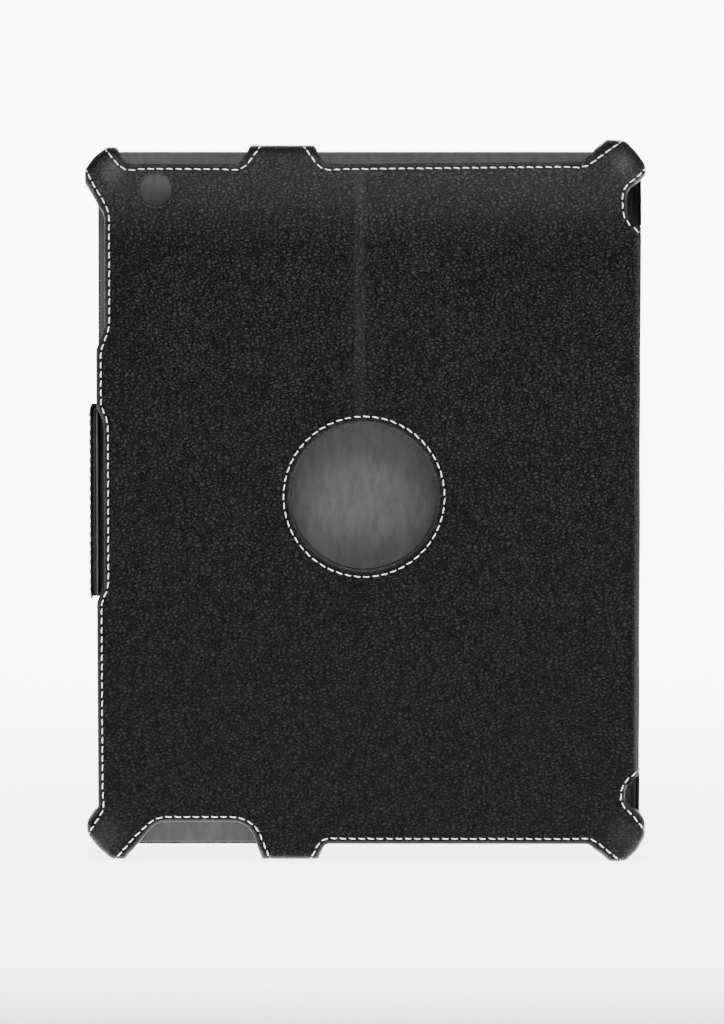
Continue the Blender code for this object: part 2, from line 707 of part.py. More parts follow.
def closure_tab(empty, materials):
    lining = closure_layer("closure_lining", CLOSURE_LINING_IN, CLOSURE_LINING_OUT, LINING_INSET)
    leather = closure_layer("closure_leather", CLOSURE_LEATHER_IN, CLOSURE_LEATHER_OUT, 0.0)
    stiffener = closure_layer(
        "closure_stiffener", CLOSURE_STIFFENER_IN, CLOSURE_STIFFENER_OUT, CLOSURE_INSET
    )
    for label, end in (("upper", 1), ("lower", -1)):
        middle = TABLET_MIDDLE + end * MAGNET_SPACING / 2
        seat = side_prism(
            f"{label}_magnet_seat",
            magnet_outline(middle, GLUE_GAP),
            -CLOSURE_STIFFENER_OUT - CUT_MARGIN,
            -CLOSURE_STIFFENER_IN + CUT_MARGIN,
        )
        seat.hide_render = True
        seat.display_type = "WIRE"
        cut(stiffener, seat)
        magnet = side_prism(
            f"closure_magnet_{label}",
            magnet_outline(middle, 0.0),
            -CLOSURE_STIFFENER_OUT,
            -CLOSURE_STIFFENER_IN,
        )
        hang(magnet, empty, materials["steel"])
    hang(leather, empty, materials["leather"])
    hang(stiffener, empty, materials["board"])
    hang(lining, empty, materials["lining"])


# ---------------------------------------------------------------- assembly
def build():
    for old in list(bpy.data.objects):
        bpy.data.objects.remove(old, do_unlink=True)
    materials = {
        "leather": made_material("black_leather", (0.022, 0.022, 0.023), 0.48),
        "board": made_material("stiff_board", (0.16, 0.14, 0.12), 0.85),
        "moulding": made_material("moulded_core", (0.05, 0.05, 0.052), 0.55),
        "lining": made_material("grey_microfibre", (0.17, 0.17, 0.175), 0.95),
        "steel": made_material("plated_steel", (0.56, 0.56, 0.57), 0.35, 1.0),
    }
    far = axis_empty("far_half", 0.0, 0.0, None)
    spine_side = axis_empty("back_fold_axis", CREASE_X, 0.0, far)
    spine = axis_empty("spine_fold_axis", SPINE_FOLD_X, FOLD_RADIUS, spine_side)
    cover = axis_empty("cover_fold_axis", SPINE_FOLD_X, DEPTH - FOLD_RADIUS, spine)
    closure = axis_empty("closure_fold_axis", CLOSURE_FOLD_X, DEPTH - FOLD_RADIUS, cover)

    guides = back_guides()
    far_outline = far_half_outline()
    spine_outline = spine_half_outline()
    leather, board, lining = back_half("far", far_outline, far, materials, guides)
    camera_hole(leather, board, lining)
    catch_strip(board, far, materials["steel"])
    back_half("spine_side", spine_outline, spine_side, materials, guides)

    core = materials["moulding"]
    corners = (
        ("far_top_corner", far_outline, far, -1, 1),
        ("far_bottom_corner", far_outline, far, -1, -1),
        ("spine_top_corner", spine_outline, spine_side, 1, 1),
        ("spine_bottom_corner", spine_outline, spine_side, 1, -1),
    )
    for name, outline, empty, side, end in corners:
        moulded_insert(name, outline, corner_region(side, end), empty, core, guides)
    top_region = tab_region(TOP_TAB_X, TOP_TAB_WIDTH + TAB_FLARE, 1)
    bottom_region = tab_region(BOTTOM_TAB_X, BOTTOM_TAB_WIDTH + TAB_FLARE, -1)
    moulded_insert("top_tab_core", far_outline, top_region, far, core, guides)
    moulded_insert("bottom_tab_core", far_outline, bottom_region, far, core, guides)

    spine_strip(spine, materials)
    front_cover(cover, materials)
    closure_tab(closure, materials)


build()
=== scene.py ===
"""Looks of the folio tablet case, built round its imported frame.

Lengths are in millimetres while a piece is being made, and in metres in the finished mesh.
X runs across the back, Z runs up, and -Y is the way that the outside of the back faces.
"""

import json
import math
import random

import bmesh
import bpy
import numpy as np
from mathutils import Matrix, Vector, noise
from mathutils.bvhtree import BVHTree
from mathutils.geometry import delaunay_2d_cdt
from mathutils.kdtree import KDTree


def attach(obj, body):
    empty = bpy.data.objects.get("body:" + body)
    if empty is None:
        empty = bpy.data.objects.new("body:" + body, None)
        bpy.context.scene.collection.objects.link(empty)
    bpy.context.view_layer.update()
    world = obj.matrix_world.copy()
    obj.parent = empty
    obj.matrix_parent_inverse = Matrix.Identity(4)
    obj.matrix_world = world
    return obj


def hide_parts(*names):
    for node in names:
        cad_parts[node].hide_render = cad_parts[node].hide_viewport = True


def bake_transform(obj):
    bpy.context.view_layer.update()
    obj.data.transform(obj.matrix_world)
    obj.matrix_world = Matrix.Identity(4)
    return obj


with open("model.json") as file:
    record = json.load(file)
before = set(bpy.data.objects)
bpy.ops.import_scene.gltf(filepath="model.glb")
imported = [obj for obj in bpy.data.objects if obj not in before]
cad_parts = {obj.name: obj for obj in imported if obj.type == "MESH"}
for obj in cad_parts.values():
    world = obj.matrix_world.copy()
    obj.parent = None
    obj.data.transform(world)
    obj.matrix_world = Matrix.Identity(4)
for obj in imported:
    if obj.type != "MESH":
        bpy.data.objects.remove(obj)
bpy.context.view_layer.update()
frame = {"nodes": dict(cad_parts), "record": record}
rng = random.Random(7)

# ---------------------------------------------------------------- sizes, as in the frame
HALF_WIDTH = 92.85
TABLET_BOTTOM = 4.5
TABLET_TOP = 245.7
TABLET_CORNER = 10.0
MIDDLE_Z = 125.1
BACK_Y = -9.6
COVER_Y = 9.6
LEATHER = 0.9
EDGE_DEPTH = 2.7
LIP_DEPTH = 15.5
EDGE_ROUND = 0.7
CUP_ROUND = 3.6
LIP_ROUND = 1.2
CREASE_X = -2.3
CREASE_LOW = 7.5
CREASE_HIGH = 241.8
SEAM_X = 91.5
WINDOW = (-0.7, 127.8, 25.2)
CAMERA_HOLE = (-72.7, 234.1, 5.45)
SPINE_OUT = 95.05
SPINE_LOW = 30.0
SPINE_HIGH = 221.4
FOLD_ROUND = 2.4
COVER_LEFT = -93.15
COVER_BOTTOM = 4.5
COVER_TOP = 246.6
CLOSURE_OUT = -95.85
CLOSURE_LOW = 91.35
CLOSURE_HIGH = 158.85
CLOSURE_FREE_Y = -5.9
CLOSURE_INSET = 1.8
LINING_Y = 6.2
LINING = 0.5
LINING_X = 93.2
PAPER_GLOW_FRONT = 4.5
PAPER_GLOW_BACK = 4.6
STITCH_PITCH = 3.2
STITCH_LENGTH = 2.55
THREAD_RADIUS = 0.2
STITCH_LEAN = 0.12
ROW_STEP = 0.4
WINDOW_ROW_RADIUS = 27.9

# The two pressed lines of the back's crease, with how deep each is
CREASE_LINES = ((-4.7, 1.0), (0.1, 0.75))

# The back's outline, anticlockwise from the top tab: x, z and how much each corner is rounded
BACK_OUTLINE = [
    (-14.5, 242.9, 4.0), (-17.9, 249.0, 1.2), (-40.1, 249.0, 1.2), (-43.5, 242.9, 4.0),
    (-82.85, 243.1, 3.0), (-86.45, 248.4, 1.5), (-89.95, 248.4, 4.0), (-94.15, 245.25, 7.0),
    (-97.2, 241.0, 4.0), (-97.2, 236.3, 1.5), (-90.45, 225.2, 6.0), (-90.45, 186.7, 4.0),
    (-93.45, 178.7, 4.0), (-93.45, 159.1, 6.0), (-91.05, 153.6, 6.0), (-91.05, 96.6, 6.0),
    (-93.45, 91.1, 6.0), (-93.25, 19.5, 3.0), (-97.2, 13.5, 2.0), (-97.2, 9.8, 4.0),
    (-93.33, 4.92, 8.0), (-88.65, 0.8, 4.0), (-84.05, 0.8, 1.5), (-73.05, 14.2, 7.0),
    (-40.6, 14.2, 8.0), (-36.3, 0.8, 1.0), (-16.5, 0.8, 1.0), (-14.46, 6.4, 2.5), (77.45, 6.3, 3.0),
    (84.95, 0.0, 2.0), (90.25, 0.0, 4.0), (94.4, 3.87, 8.0), (97.2, 8.8, 5.0), (97.2, 13.9, 2.0),
    (93.95, 18.3, 0.8), (90.15, 21.3, 2.5), (90.15, 25.8, 4.0), (SEAM_X, 27.25, 0.0),
    (SEAM_X, 224.15, 0.0), (90.15, 225.6, 4.0), (90.15, 234.0, 4.0), (94.75, 237.0, 0.8),
    (96.6, 239.1, 1.5), (96.6, 242.7, 4.0), (93.5, 246.9, 8.0), (89.95, 250.7, 4.0),
    (83.45, 251.0, 1.5), (74.25, 243.8, 4.0),
]
COVER_CORNER = 8.0
COVER_ARC_X = 94.05 - COVER_CORNER

# Where each corner cup swells (centre, then height), and how far the swell spreads; the height also sets
# how strong the cup's painted highlight is
CUP_SPREAD = 5.6
CUP_SWELLS = [
    (-87.6, 238.6, 1.8),
    (88.2, 241.6, 1.8),
    (-90.5, 8.6, 0.6),
    (90.2, 7.6, 0.6),
]

# Each row of stitching as (start on the outline, end on the outline, inset at start, between, at end)
STITCH_ROWS = [
    ((77.5, 246.4), (-16.2, 246.0), 2.6, 1.6, 2.4),
    ((-41.8, 246.0), (-84.65, 245.75), 2.4, 1.6, 2.7),
    ((-94.0, 231.0), (-95.2, 16.5), 2.5, 1.6, 2.3),
    ((-80.5, 5.1), (-38.4, 7.5), 2.6, 1.8, 2.3),
    ((-15.4, 3.8), (81.2, 3.1), 2.3, 2.0, 2.6),
    ((95.5, 16.2), (91.0, 26.7), 2.0, 1.7, 1.4),
    ((91.0, 224.7), (95.6, 238.0), 1.4, 1.7, 2.0),
]


# ---------------------------------------------------------------- plane outlines
def smooth(value, low, high):
    t = np.clip((np.asarray(value, float) - low) / (high - low), 0.0, 1.0)
    return t * t * (3 - 2 * t)


def unit(x, z):
    length = math.hypot(x, z) or 1.0
    return x / length, z / length, length


def units(vectors):
    """The same directions, each with a length of 1."""
    return vectors / np.maximum(np.linalg.norm(vectors, axis=1, keepdims=True), 1e-9)


def travel_of(line):
    """How far along a line each of its points is."""
    return np.concatenate([[0], np.cumsum(np.linalg.norm(np.diff(line, axis=0), axis=1))])


def waves(x, y, z):
    """Smooth noise at many places; a coordinate may be one number for all of them."""
    return np.array([noise.noise(Vector(p)) for p in np.stack(np.broadcast_arrays(x, y, z), axis=1)])


def bell(distance, width):
    return np.exp(-((distance / width) ** 2))


def rounded(points, step=math.radians(7)):
    """An outline's points, with each corner drawn as an arc of its own radius."""
    made = []
    for n, (x, z, radius) in enumerate(points):
        before, after = points[n - 1], points[(n + 1) % len(points)]
        in_x, in_z, in_length = unit(x - before[0], z - before[1])
        out_x, out_z, out_length = unit(after[0] - x, after[1] - z)
        turn = math.atan2(in_x * out_z - in_z * out_x, in_x * out_x + in_z * out_z)
        if not radius or abs(turn) < 0.02:
            made.append((x, z))
            continue
        reach = abs(math.tan(turn / 2))
        radius = min(radius, 0.49 * min(in_length, out_length) / reach)
        side = math.copysign(1.0, turn)
        start = (x - in_x * radius * reach, z - in_z * radius * reach)
        centre = (start[0] - side * in_z * radius, start[1] + side * in_x * radius)
        from_x, from_z = start[0] - centre[0], start[1] - centre[1]
        steps = max(2, round(abs(turn) / step))
        for k in range(steps + 1):
            cos, sin = math.cos(turn * k / steps), math.sin(turn * k / steps)
            made.append((centre[0] + from_x * cos - from_z * sin, centre[1] + from_x * sin + from_z * cos))
    return made


def spaced(points, gap, closed=True):
    """The same line with no two neighbours further apart than gap."""
    made = []
    last = len(points) if closed else len(points) - 1
    for n in range(last):
        a = np.array(points[n])
        b = np.array(points[(n + 1) % len(points)])
        steps = max(1, math.ceil(np.linalg.norm(b - a) / gap - 1e-6))
        made += [a + (b - a) * k / steps for k in range(steps)]
    if not closed:
        made.append(np.array(points[-1]))
    return np.array(made)


def even(points, gap, closed=True):
    """The same line in equal steps of about gap."""
    line = np.array(points, float)
    if closed:
        line = np.vstack([line, line[:1]])
    travel = travel_of(line)
    marks = np.linspace(0, travel[-1], max(2, round(travel[-1] / gap)) + 1)
    return at_marks(line, travel, marks)[: -1 if closed else None]


def at_marks(line, travel, marks):
    """The places on a line at the given distances along it."""
    return np.stack([np.interp(marks, travel, line[:, k]) for k in range(line.shape[1])], axis=1)


def outward(loop):
    """Normals that point out of an anticlockwise loop."""
    along = units(np.roll(loop, -1, 0) - np.roll(loop, 1, 0))
    return np.stack([along[:, 1], -along[:, 0]], axis=1)


def circle(x, z, radius, count):
    """A hole's loop, clockwise, so that its outward normals point into the hole."""
    a = -np.arange(count) * 2 * math.pi / count
    return np.stack([x + radius * np.cos(a), z + radius * np.sin(a)], axis=1)


def inside(points, loops):
    """Which points are inside the first loop and outside the others."""
    result = np.zeros(len(points), bool)
    for loop in loops:
        a, b = loop, np.roll(loop, -1, 0)
        for start in range(0, len(points), 4000):
            p = points[start : start + 4000]
            above_a = a[None, :, 1] > p[:, None, 1]
            above_b = b[None, :, 1] > p[:, None, 1]
            rise = b[:, 1] - a[:, 1]
            rise = np.where(np.abs(rise) < 1e-12, 1e-12, rise)
            cross = a[None, :, 0] + (p[:, None, 1] - a[None, :, 1]) * (b - a)[None, :, 0] / rise[None]
            hits = (above_a != above_b) & (p[:, None, 0] < cross)
            result[start : start + 4000] ^= hits.sum(1) % 2 == 1
    return result


def tree_of(points):
    """A search tree of places in the plane or in space."""
    tree = KDTree(len(points))
    for n, p in enumerate(points):
        tree.insert((*p, 0.0)[:3], n)
    tree.balance()
    return tree


def nearest(tree, points):
    """For each point, the number of the nearest one in the tree and how far it is."""
    found = [tree.find((*p, 0.0)[:3]) for p in points]
    return np.array([f[1] for f in found]), np.array([f[2] for f in found])


def outside_tablet(points):
    """How far each point lies outside the tablet's rounded outline, negative inside it."""
    half = np.array([HALF_WIDTH, (TABLET_TOP - TABLET_BOTTOM) / 2]) - TABLET_CORNER
    q = np.abs(points - np.array([0.0, MIDDLE_Z])) - half
    far = np.linalg.norm(np.maximum(q, 0), axis=1)
    return far + np.minimum(np.maximum(q[:, 0], q[:, 1]), 0) - TABLET_CORNER


# ---------------------------------------------------------------- sheets made from outlines
def thinned(line, gap):
    kept = []
    for p in line:
        if not kept or math.hypot(p[0] - kept[-1][0], p[1] - kept[-1][1]) > gap:
            kept.append(p)
    return kept


def field(loops, rings, extra, grid):
    """Triangles that fill an outline: its loops, rings inside them, extra points, then a sparse grid."""
    edge_tree = tree_of(np.vstack([spaced(loop, 0.12) for loop in loops]))
    accepted = [p for loop in loops for p in loop]

    def accept(points, gap, tree):
        _, near = nearest(tree, points)
        accepted.extend(points[near > gap])

    for group, gap in extra:
        group = np.array(group)
        group = group[inside(group, loops)]
        _, far = nearest(edge_tree, group)
        accept(group[far > 0.28], gap, tree_of(accepted))
    for inset in rings:
        ring = [p for loop in loops for p in thinned(loop - outward(loop) * inset, 0.42)]
        ring = np.array(ring)
        ring = ring[inside(ring, loops)]
        _, far = nearest(edge_tree, ring)
        accept(ring[far > inset * 0.93], min(0.3, inset * 0.8), tree_of(accepted))
    low, high = np.array(loops[0]).min(0), np.array(loops[0]).max(0)
    xs = np.arange(low[0], high[0], grid)
    zs = np.arange(low[1], high[1], grid * 0.87)
    mesh = np.array([(x + (k % 2) * grid / 2, z) for k, z in enumerate(zs) for x in xs])
    accept(mesh[inside(mesh, loops)], grid * 0.55, tree_of(accepted))
    edges = []
    start = 0
    for loop in loops:
        edges += [(start + k, start + (k + 1) % len(loop)) for k in range(len(loop))]
        start += len(loop)
    flat = [Vector(p) for p in accepted]
    verts, _, faces, source, _, _ = delaunay_2d_cdt(flat, edges, [], 0, 1e-5)
    verts = np.array([tuple(v) for v in verts])
    faces = np.array(faces)
    boundary = np.array([min(s) < start if s else False for s in source])
    doubtful = boundary[faces].all(1)
    keep = np.ones(len(faces), bool)
    keep[np.where(doubtful)[0]] = inside(verts[faces[doubtful]].mean(1), loops)
    return verts, faces[keep]


def fall(distance, radius):
    """How far a rounded edge has dropped at a distance in from it."""
    left = np.clip(radius - distance, 0, radius)
    return radius - np.sqrt(np.maximum(radius**2 - left**2, 0))


def merged(parts):
    """Several (verts, faces) sets as one, with the vertices that share a place welded."""
    verts = np.vstack([v for v, _ in parts])
    starts = np.cumsum([0] + [len(v) for v, _ in parts])
    faces = np.vstack([np.asarray(f) + start for (_, f), start in zip(parts, starts)])
    _, first, back = np.unique(np.round(verts, 3), axis=0, return_index=True, return_inverse=True)
    faces = back.reshape(-1)[faces]
    good = (faces[:, 0] != faces[:, 1]) & (faces[:, 1] != faces[:, 2]) & (faces[:, 0] != faces[:, 2])
    return verts[first], faces[good]


def oriented(verts, faces):
    """The same triangles, all turned the same way as their neighbours."""
    mesh = bpy.data.meshes.new("turning")
    mesh.from_pydata(verts.tolist(), [], faces.tolist())
    bm = bmesh.new()
    bm.from_mesh(mesh)
    bmesh.ops.recalc_face_normals(bm, faces=bm.faces)
    bm.to_mesh(mesh)
    bm.free()
    turned = np.array([tuple(p.vertices) for p in mesh.polygons])
    bpy.data.meshes.remove(mesh)
    return turned


def normals_of(verts, faces):
    a, b, c = verts[faces[:, 0]], verts[faces[:, 1]], verts[faces[:, 2]]
    cross = np.cross(b - a, c - a)
    total = np.zeros_like(verts)
    for k in range(3):
        np.add.at(total, faces[:, k], cross)
    return total / np.maximum(np.linalg.norm(total, axis=1, keepdims=True), 1e-12)


def thickened(verts, faces, thickness):
    """A closed sheet: the outer surface, a copy behind it, and the rim between them."""
    behind = verts - normals_of(verts, faces) * thickness
    count = len(verts)
    edges = dict.fromkeys((int(f[k]), int(f[(k + 1) % 3])) for f in faces for k in range(3))
    rim = []
    for a, b in edges:
        if (b, a) not in edges:
            rim += [(b, a, a + count), (b, a + count, b + count)]
    return np.vstack([verts, behind]), np.vstack([faces, faces[:, ::-1] + count, np.array(rim)])


def piece(name, verts, faces, material, wear_and_highlight=None):
    """A finished mesh object in metres, which remembers where its texture sits."""
    mesh = bpy.data.meshes.new(name)
    mesh.from_pydata((verts * 0.001).tolist(), [], faces.tolist())
    mesh.validate()
    count = len(mesh.vertices)
    place = mesh.attributes.new("rest", "FLOAT_VECTOR", "POINT")
    place.data.foreach_set("vector", verts[:count].astype(np.float32).ravel())
    # Per point, real rubbing plus painted highlights, read by the leather's colour, roughness and shine
    wear_and_highlight_attribute = mesh.attributes.new("wear_and_highlight", "FLOAT", "POINT")
    wear_and_highlight = np.zeros(count) if wear_and_highlight is None else np.resize(wear_and_highlight, count)
    wear_and_highlight_attribute.data.foreach_set("value", wear_and_highlight.astype(np.float32))
    mesh.shade_smooth()
    mesh.set_sharp_from_angle(angle=math.radians(55))
    mesh.materials.append(material)
    obj = bpy.data.objects.new(name, mesh)
    bpy.context.scene.collection.objects.link(obj)
    return obj


# ---------------------------------------------------------------- materials
def add(tree, kind, **settings):
    """A new node; each setting is the value of one of its inputs or one of its properties."""
    node = tree.nodes.new(kind)
    for key, value in settings.items():
        if key in node.inputs:
            node.inputs[key].default_value = value
        else:
            setattr(node, key, value)
    return node


def join(tree, source, target):
    tree.links.new(source, target)


def place_of(tree, from_rest):
    """The place on a piece in millimetres: where it was made for soft pieces, or on the object itself."""
    if from_rest:
        return add(tree, "ShaderNodeAttribute", attribute_name="rest").outputs["Vector"]
    scaled = add(tree, "ShaderNodeVectorMath", operation="SCALE", Scale=1000.0)
    join(tree, add(tree, "ShaderNodeTexCoord").outputs["Object"], scaled.inputs[0])
    return scaled.outputs[0]


def started(name, from_rest=True):
    """A new material, its node tree, its shader and the place that its textures are laid on."""
    material = bpy.data.materials.new(name)
    material.use_nodes = True
    tree = material.node_tree
    return material, tree, tree.nodes["Principled BSDF"], place_of(tree, from_rest)


def ranged(tree, source, low, high, to_low, to_high, smoothly=True):
    limits = {"From Min": low, "From Max": high, "To Min": to_low, "To Max": to_high}
    kind = "SMOOTHSTEP" if smoothly else "LINEAR"
    node = add(tree, "ShaderNodeMapRange", interpolation_type=kind, **limits)
    join(tree, source, node.inputs["Value"])
    return node.outputs[0]


def maths(tree, operation, first, second):
    node = add(tree, "ShaderNodeMath", operation=operation)
    for k, value in enumerate((first, second)):
        if isinstance(value, (int, float)):
            node.inputs[k].default_value = value
        else:
            join(tree, value, node.inputs[k])
    return node.outputs[0]


def plus(tree, first, second):
    return maths(tree, "ADD", first, second)


def times(tree, first, second):
    return maths(tree, "MULTIPLY", first, second)


def noise_at(tree, place, scale, detail=3.0, roughness=0.55, colour=False):
    node = add(tree, "ShaderNodeTexNoise", Scale=scale, Detail=detail, Roughness=roughness)
    join(tree, place, node.inputs["Vector"])
    return node.outputs["Color" if colour else "Fac"]


def cells_at(tree, place, scale):
    node = add(tree, "ShaderNodeTexVoronoi", feature="DISTANCE_TO_EDGE", Scale=scale)
    join(tree, place, node.inputs["Vector"])
    return node.outputs["Distance"]


def bent_place(tree, place, scale, amount, stretch=(1.0, 1.0, 1.0), turn=0.0):
    """The place with a wandering shift, then turned and stretched, for creased grain."""
    shift = add(tree, "ShaderNodeVectorMath", operation="SUBTRACT")
    join(tree, noise_at(tree, place, scale, 2.0, colour=True), shift.inputs[0])
    shift.inputs[1].default_value = (0.5, 0.5, 0.5)
    scaled = add(tree, "ShaderNodeVectorMath", operation="SCALE", Scale=amount)
    join(tree, shift.outputs[0], scaled.inputs[0])
    moved = add(tree, "ShaderNodeVectorMath", operation="ADD")
    join(tree, place, moved.inputs[0])
    join(tree, scaled.outputs[0], moved.inputs[1])
    mapped = add(tree, "ShaderNodeMapping", Rotation=(0.0, turn, 0.0), Scale=stretch)
    join(tree, moved.outputs[0], mapped.inputs["Vector"])
    return mapped.outputs[0]


def toned(tree, source, low, dark, high, light):
    """A colour that goes from dark to light as the source goes from low to high."""
    node = add(tree, "ShaderNodeValToRGB")
    for element, at, colour in zip(node.color_ramp.elements, (low, high), (dark, light)):
        element.position = at
        element.color = (*colour, 1)
    join(tree, source, node.inputs[0])
    return node.outputs[0]


def finished(material, tree, shader, colour, height, distance, **constants):
    """The material with its colour, its bump and the constant values of its other sockets."""
    join(tree, colour, shader.inputs["Base Color"])
    if height is not None:
        bump = add(tree, "ShaderNodeBump", Strength=1.0, Distance=distance)
        join(tree, height, bump.inputs["Height"])
        join(tree, bump.outputs[0], shader.inputs["Normal"])
    for key, value in constants.items():
        shader.inputs[key.replace("_", " ")].default_value = value
    return material


def leather_material():
    """Two sizes of pebbles, taller and shinier towards the top; smoother, shinier and lighter in colour
    where the per-point attribute is set, which is real edge rubbing plus painted highlights.
    """
    material, tree, shader, place = started("pebbled_leather")
    creased = bent_place(tree, place, 0.3, 2.2, (0.72, 0.8, 1.0), 0.45)
    pebbles = ranged(tree, cells_at(tree, creased, 0.82), 0.0, 0.42, 0.0, 1.0)
    crossed = bent_place(tree, place, 0.5, 1.5, (0.6, 1.0, 1.0), -0.5)
    lesser = ranged(tree, cells_at(tree, crossed, 1.4), 0.0, 0.34, 0.0, 1.0)
    uneven = noise_at(tree, place, 0.42, 2.0, 0.5)
    pores = noise_at(tree, place, 3.4, 1.0, 0.5)
    broad = noise_at(tree, place, 0.05, 3.0, 0.6)
    parts = add(tree, "ShaderNodeSeparateXYZ")
    join(tree, place, parts.inputs[0])
    stretched = ranged(tree, parts.outputs[2], 20.0, 240.0, 0.5, 1.15)
    depth = times(tree, ranged(tree, broad, 0.35, 0.65, 0.7, 1.15), stretched)
    grains = plus(tree, times(tree, pebbles, 0.5), times(tree, lesser, 0.4))
    height = plus(tree, grains, times(tree, uneven, 0.5))
    height = plus(tree, height, times(tree, pores, 0.05))
    # The per-point attribute holds real rubbing at the free edges plus painted highlights elsewhere; it
    # lowers the roughness and raises the shine
    wear_and_highlight_attribute = add(tree, "ShaderNodeAttribute", attribute_name="wear_and_highlight").outputs["Fac"]
    kept = times(tree, depth, ranged(tree, wear_and_highlight_attribute, 0.0, 1.0, 1.0, 0.35, False))
    # Lighter colour where the attribute is set: scuffed edges, and painted highlights on the cups, crease,
    # top band and spine fold
    lightened_by_wear_and_highlight = add(tree, "ShaderNodeMix", data_type="RGBA")
    tone = toned(tree, height, 0.35, (0.0012, 0.0012, 0.00128), 1.0, (0.004, 0.004, 0.00408))
    join(tree, times(tree, wear_and_highlight_attribute, 0.4), lightened_by_wear_and_highlight.inputs[0])
    join(tree, tone, lightened_by_wear_and_highlight.inputs[6])
    lightened_by_wear_and_highlight.inputs[7].default_value = (0.0076, 0.0076, 0.0078, 1)
    rough = ranged(tree, height, 0.5, 1.0, 0.5, 0.34)
    join(tree, maths(tree, "SUBTRACT", rough, times(tree, wear_and_highlight_attribute, 0.05)), shader.inputs["Roughness"])
    shine = times(tree, ranged(tree, grains, 0.1, 0.75, 0.0, 0.16), stretched)
    wear_and_highlight_shine = plus(tree, times(tree, wear_and_highlight_attribute, 0.3), 0.035)
    join(tree, plus(tree, shine, wear_and_highlight_shine), shader.inputs["Specular IOR Level"])
    return finished(material, tree, shader, lightened_by_wear_and_highlight.outputs[2], times(tree, height, kept), 0.00054)


def microfibre_material():
    material, tree, shader, place = started("grey_microfibre_nap")
    nap = noise_at(tree, place, 3.2, 4.0, 0.7)
    brushed = noise_at(tree, bent_place(tree, place, 0.1, 4.0, (0.5, 1.0, 0.14), 0.3), 0.8, 3.0, 0.6)
    fibres = noise_at(tree, bent_place(tree, place, 1.2, 1.0, (3.0, 3.0, 0.8), 0.7), 2.2, 3.0, 0.7)
    mixed = plus(tree, times(tree, nap, 0.5), times(tree, brushed, 0.5))
    tone = toned(tree, mixed, 0.32, (0.0372, 0.0372, 0.0384), 0.7, (0.078, 0.078, 0.0798))
    feel = {"Roughness": 0.96, "Specular_IOR_Level": 0.15, "Sheen_Weight": 0.15, "Sheen_Roughness": 0.55}
    return finished(material, tree, shader, tone, plus(tree, nap, fibres), 0.00018, **feel)


def thread_material():
    material, tree, shader, place = started("waxed_thread")
    fibres = noise_at(tree, bent_place(tree, place, 2.0, 0.4, (4.0, 4.0, 4.0)), 2.0, 3.0, 0.6)
    soiled = noise_at(tree, place, 0.11, 3.0, 0.6)
    mixed = plus(tree, times(tree, fibres, 0.5), times(tree, soiled, 0.5))
    tone = toned(tree, mixed, 0.25, (0.50, 0.495, 0.475), 0.6, (0.86, 0.855, 0.83))
    return finished(material, tree, shader, tone, fibres, 0.00006, Roughness=0.6, Sheen_Weight=0.2)


def board_material(name, dark, light):
    material, tree, shader, place = started(name, False)
    fleck = noise_at(tree, place, 1.1, 5.0, 0.7)
    tone = toned(tree, fleck, 0.35, dark, 0.68, light)
    return finished(material, tree, shader, tone, fleck, 0.0001, Roughness=0.88)


def moulding_material():
    material, tree, shader, place = started("moulded_core_texture", False)
    spark = noise_at(tree, place, 4.0, 3.0, 0.6)
    scuff = noise_at(tree, place, 0.25, 4.0, 0.6)
    tone = toned(tree, scuff, 0.0, (0.026, 0.026, 0.027), 1.0, (0.06, 0.06, 0.062))
    join(tree, ranged(tree, scuff, 0.3, 0.7, 0.46, 0.62), shader.inputs["Roughness"])
    return finished(material, tree, shader, tone, spark, 0.00004)


def steel_material():
    material, tree, shader, place = started("plated_steel_texture", False)
    lines = add(tree, "ShaderNodeMapping", Scale=(6.0, 6.0, 0.2))
    join(tree, place, lines.inputs["Vector"])
    brushed = noise_at(tree, lines.outputs[0], 2.0, 3.0, 0.6)
    stain = noise_at(tree, place, 0.2, 3.0, 0.6)
    tone = toned(tree, stain, 0.0, (0.42, 0.42, 0.43), 1.0, (0.62, 0.62, 0.63))
    join(tree, ranged(tree, brushed, 0.3, 0.7, 0.26, 0.42), shader.inputs["Roughness"])
    return finished(material, tree, shader, tone, brushed, 0.00001, Metallic=1.0)


leather = leather_material()
lining_cloth = microfibre_material()
thread = thread_material()
dyed_board = board_material("dyed_board", (0.00425, 0.0036, 0.0029), (0.0105, 0.00925, 0.00775))
HARD_MATERIALS = {
    "board": board_material("pressed_board", (0.03825, 0.0324, 0.0261), (0.0945, 0.08325, 0.06975)),
    "moulding": moulding_material(),
    "steel": steel_material(),
}


# ---------------------------------------------------------------- rows of stitching
back_loop = spaced(rounded(BACK_OUTLINE), 0.62)
back_normals = outward(back_loop)
on_seam = np.abs(back_loop[:, 0] - SEAM_X) < 1e-6


def loop_index(point):
    return int(np.argmin(np.linalg.norm(back_loop - np.array(point), axis=1)))


def stitch_row(start, end, inset_start, inset_between, inset_end):
    """A row of stitching that keeps inside the edge, with an inset of its own at both ends."""
    first, last = loop_index(start), loop_index(end)
    if last <= first:
        last += len(back_loop)
    numbers = np.arange(first, last + 1) % len(back_loop)
    line = back_loop[numbers]
    travel = travel_of(line)
    near_start = 1 - smooth(travel, 2.0, 9.0)
    near_end = smooth(travel, travel[-1] - 9.0, travel[-1] - 2.0)
    inset = inset_between + (inset_start - inset_between) * near_start
    inset = inset + (inset_end - inset_between) * near_end
    moved = line - back_normals[numbers] * inset[:, None]
    keep = [0]
    for k in range(1, len(moved)):
        step = moved[k] - moved[keep[-1]]
        along = line[min(k + 1, len(line) - 1)] - line[max(k - 1, 0)]
        if step @ along > 0.02:
            keep.append(k)
    moved = moved[keep]
    for _ in range(12):
        moved[1:-1] = (moved[:-2] + 2 * moved[1:-1] + moved[2:]) / 4
    return even(moved, ROW_STEP, closed=False)


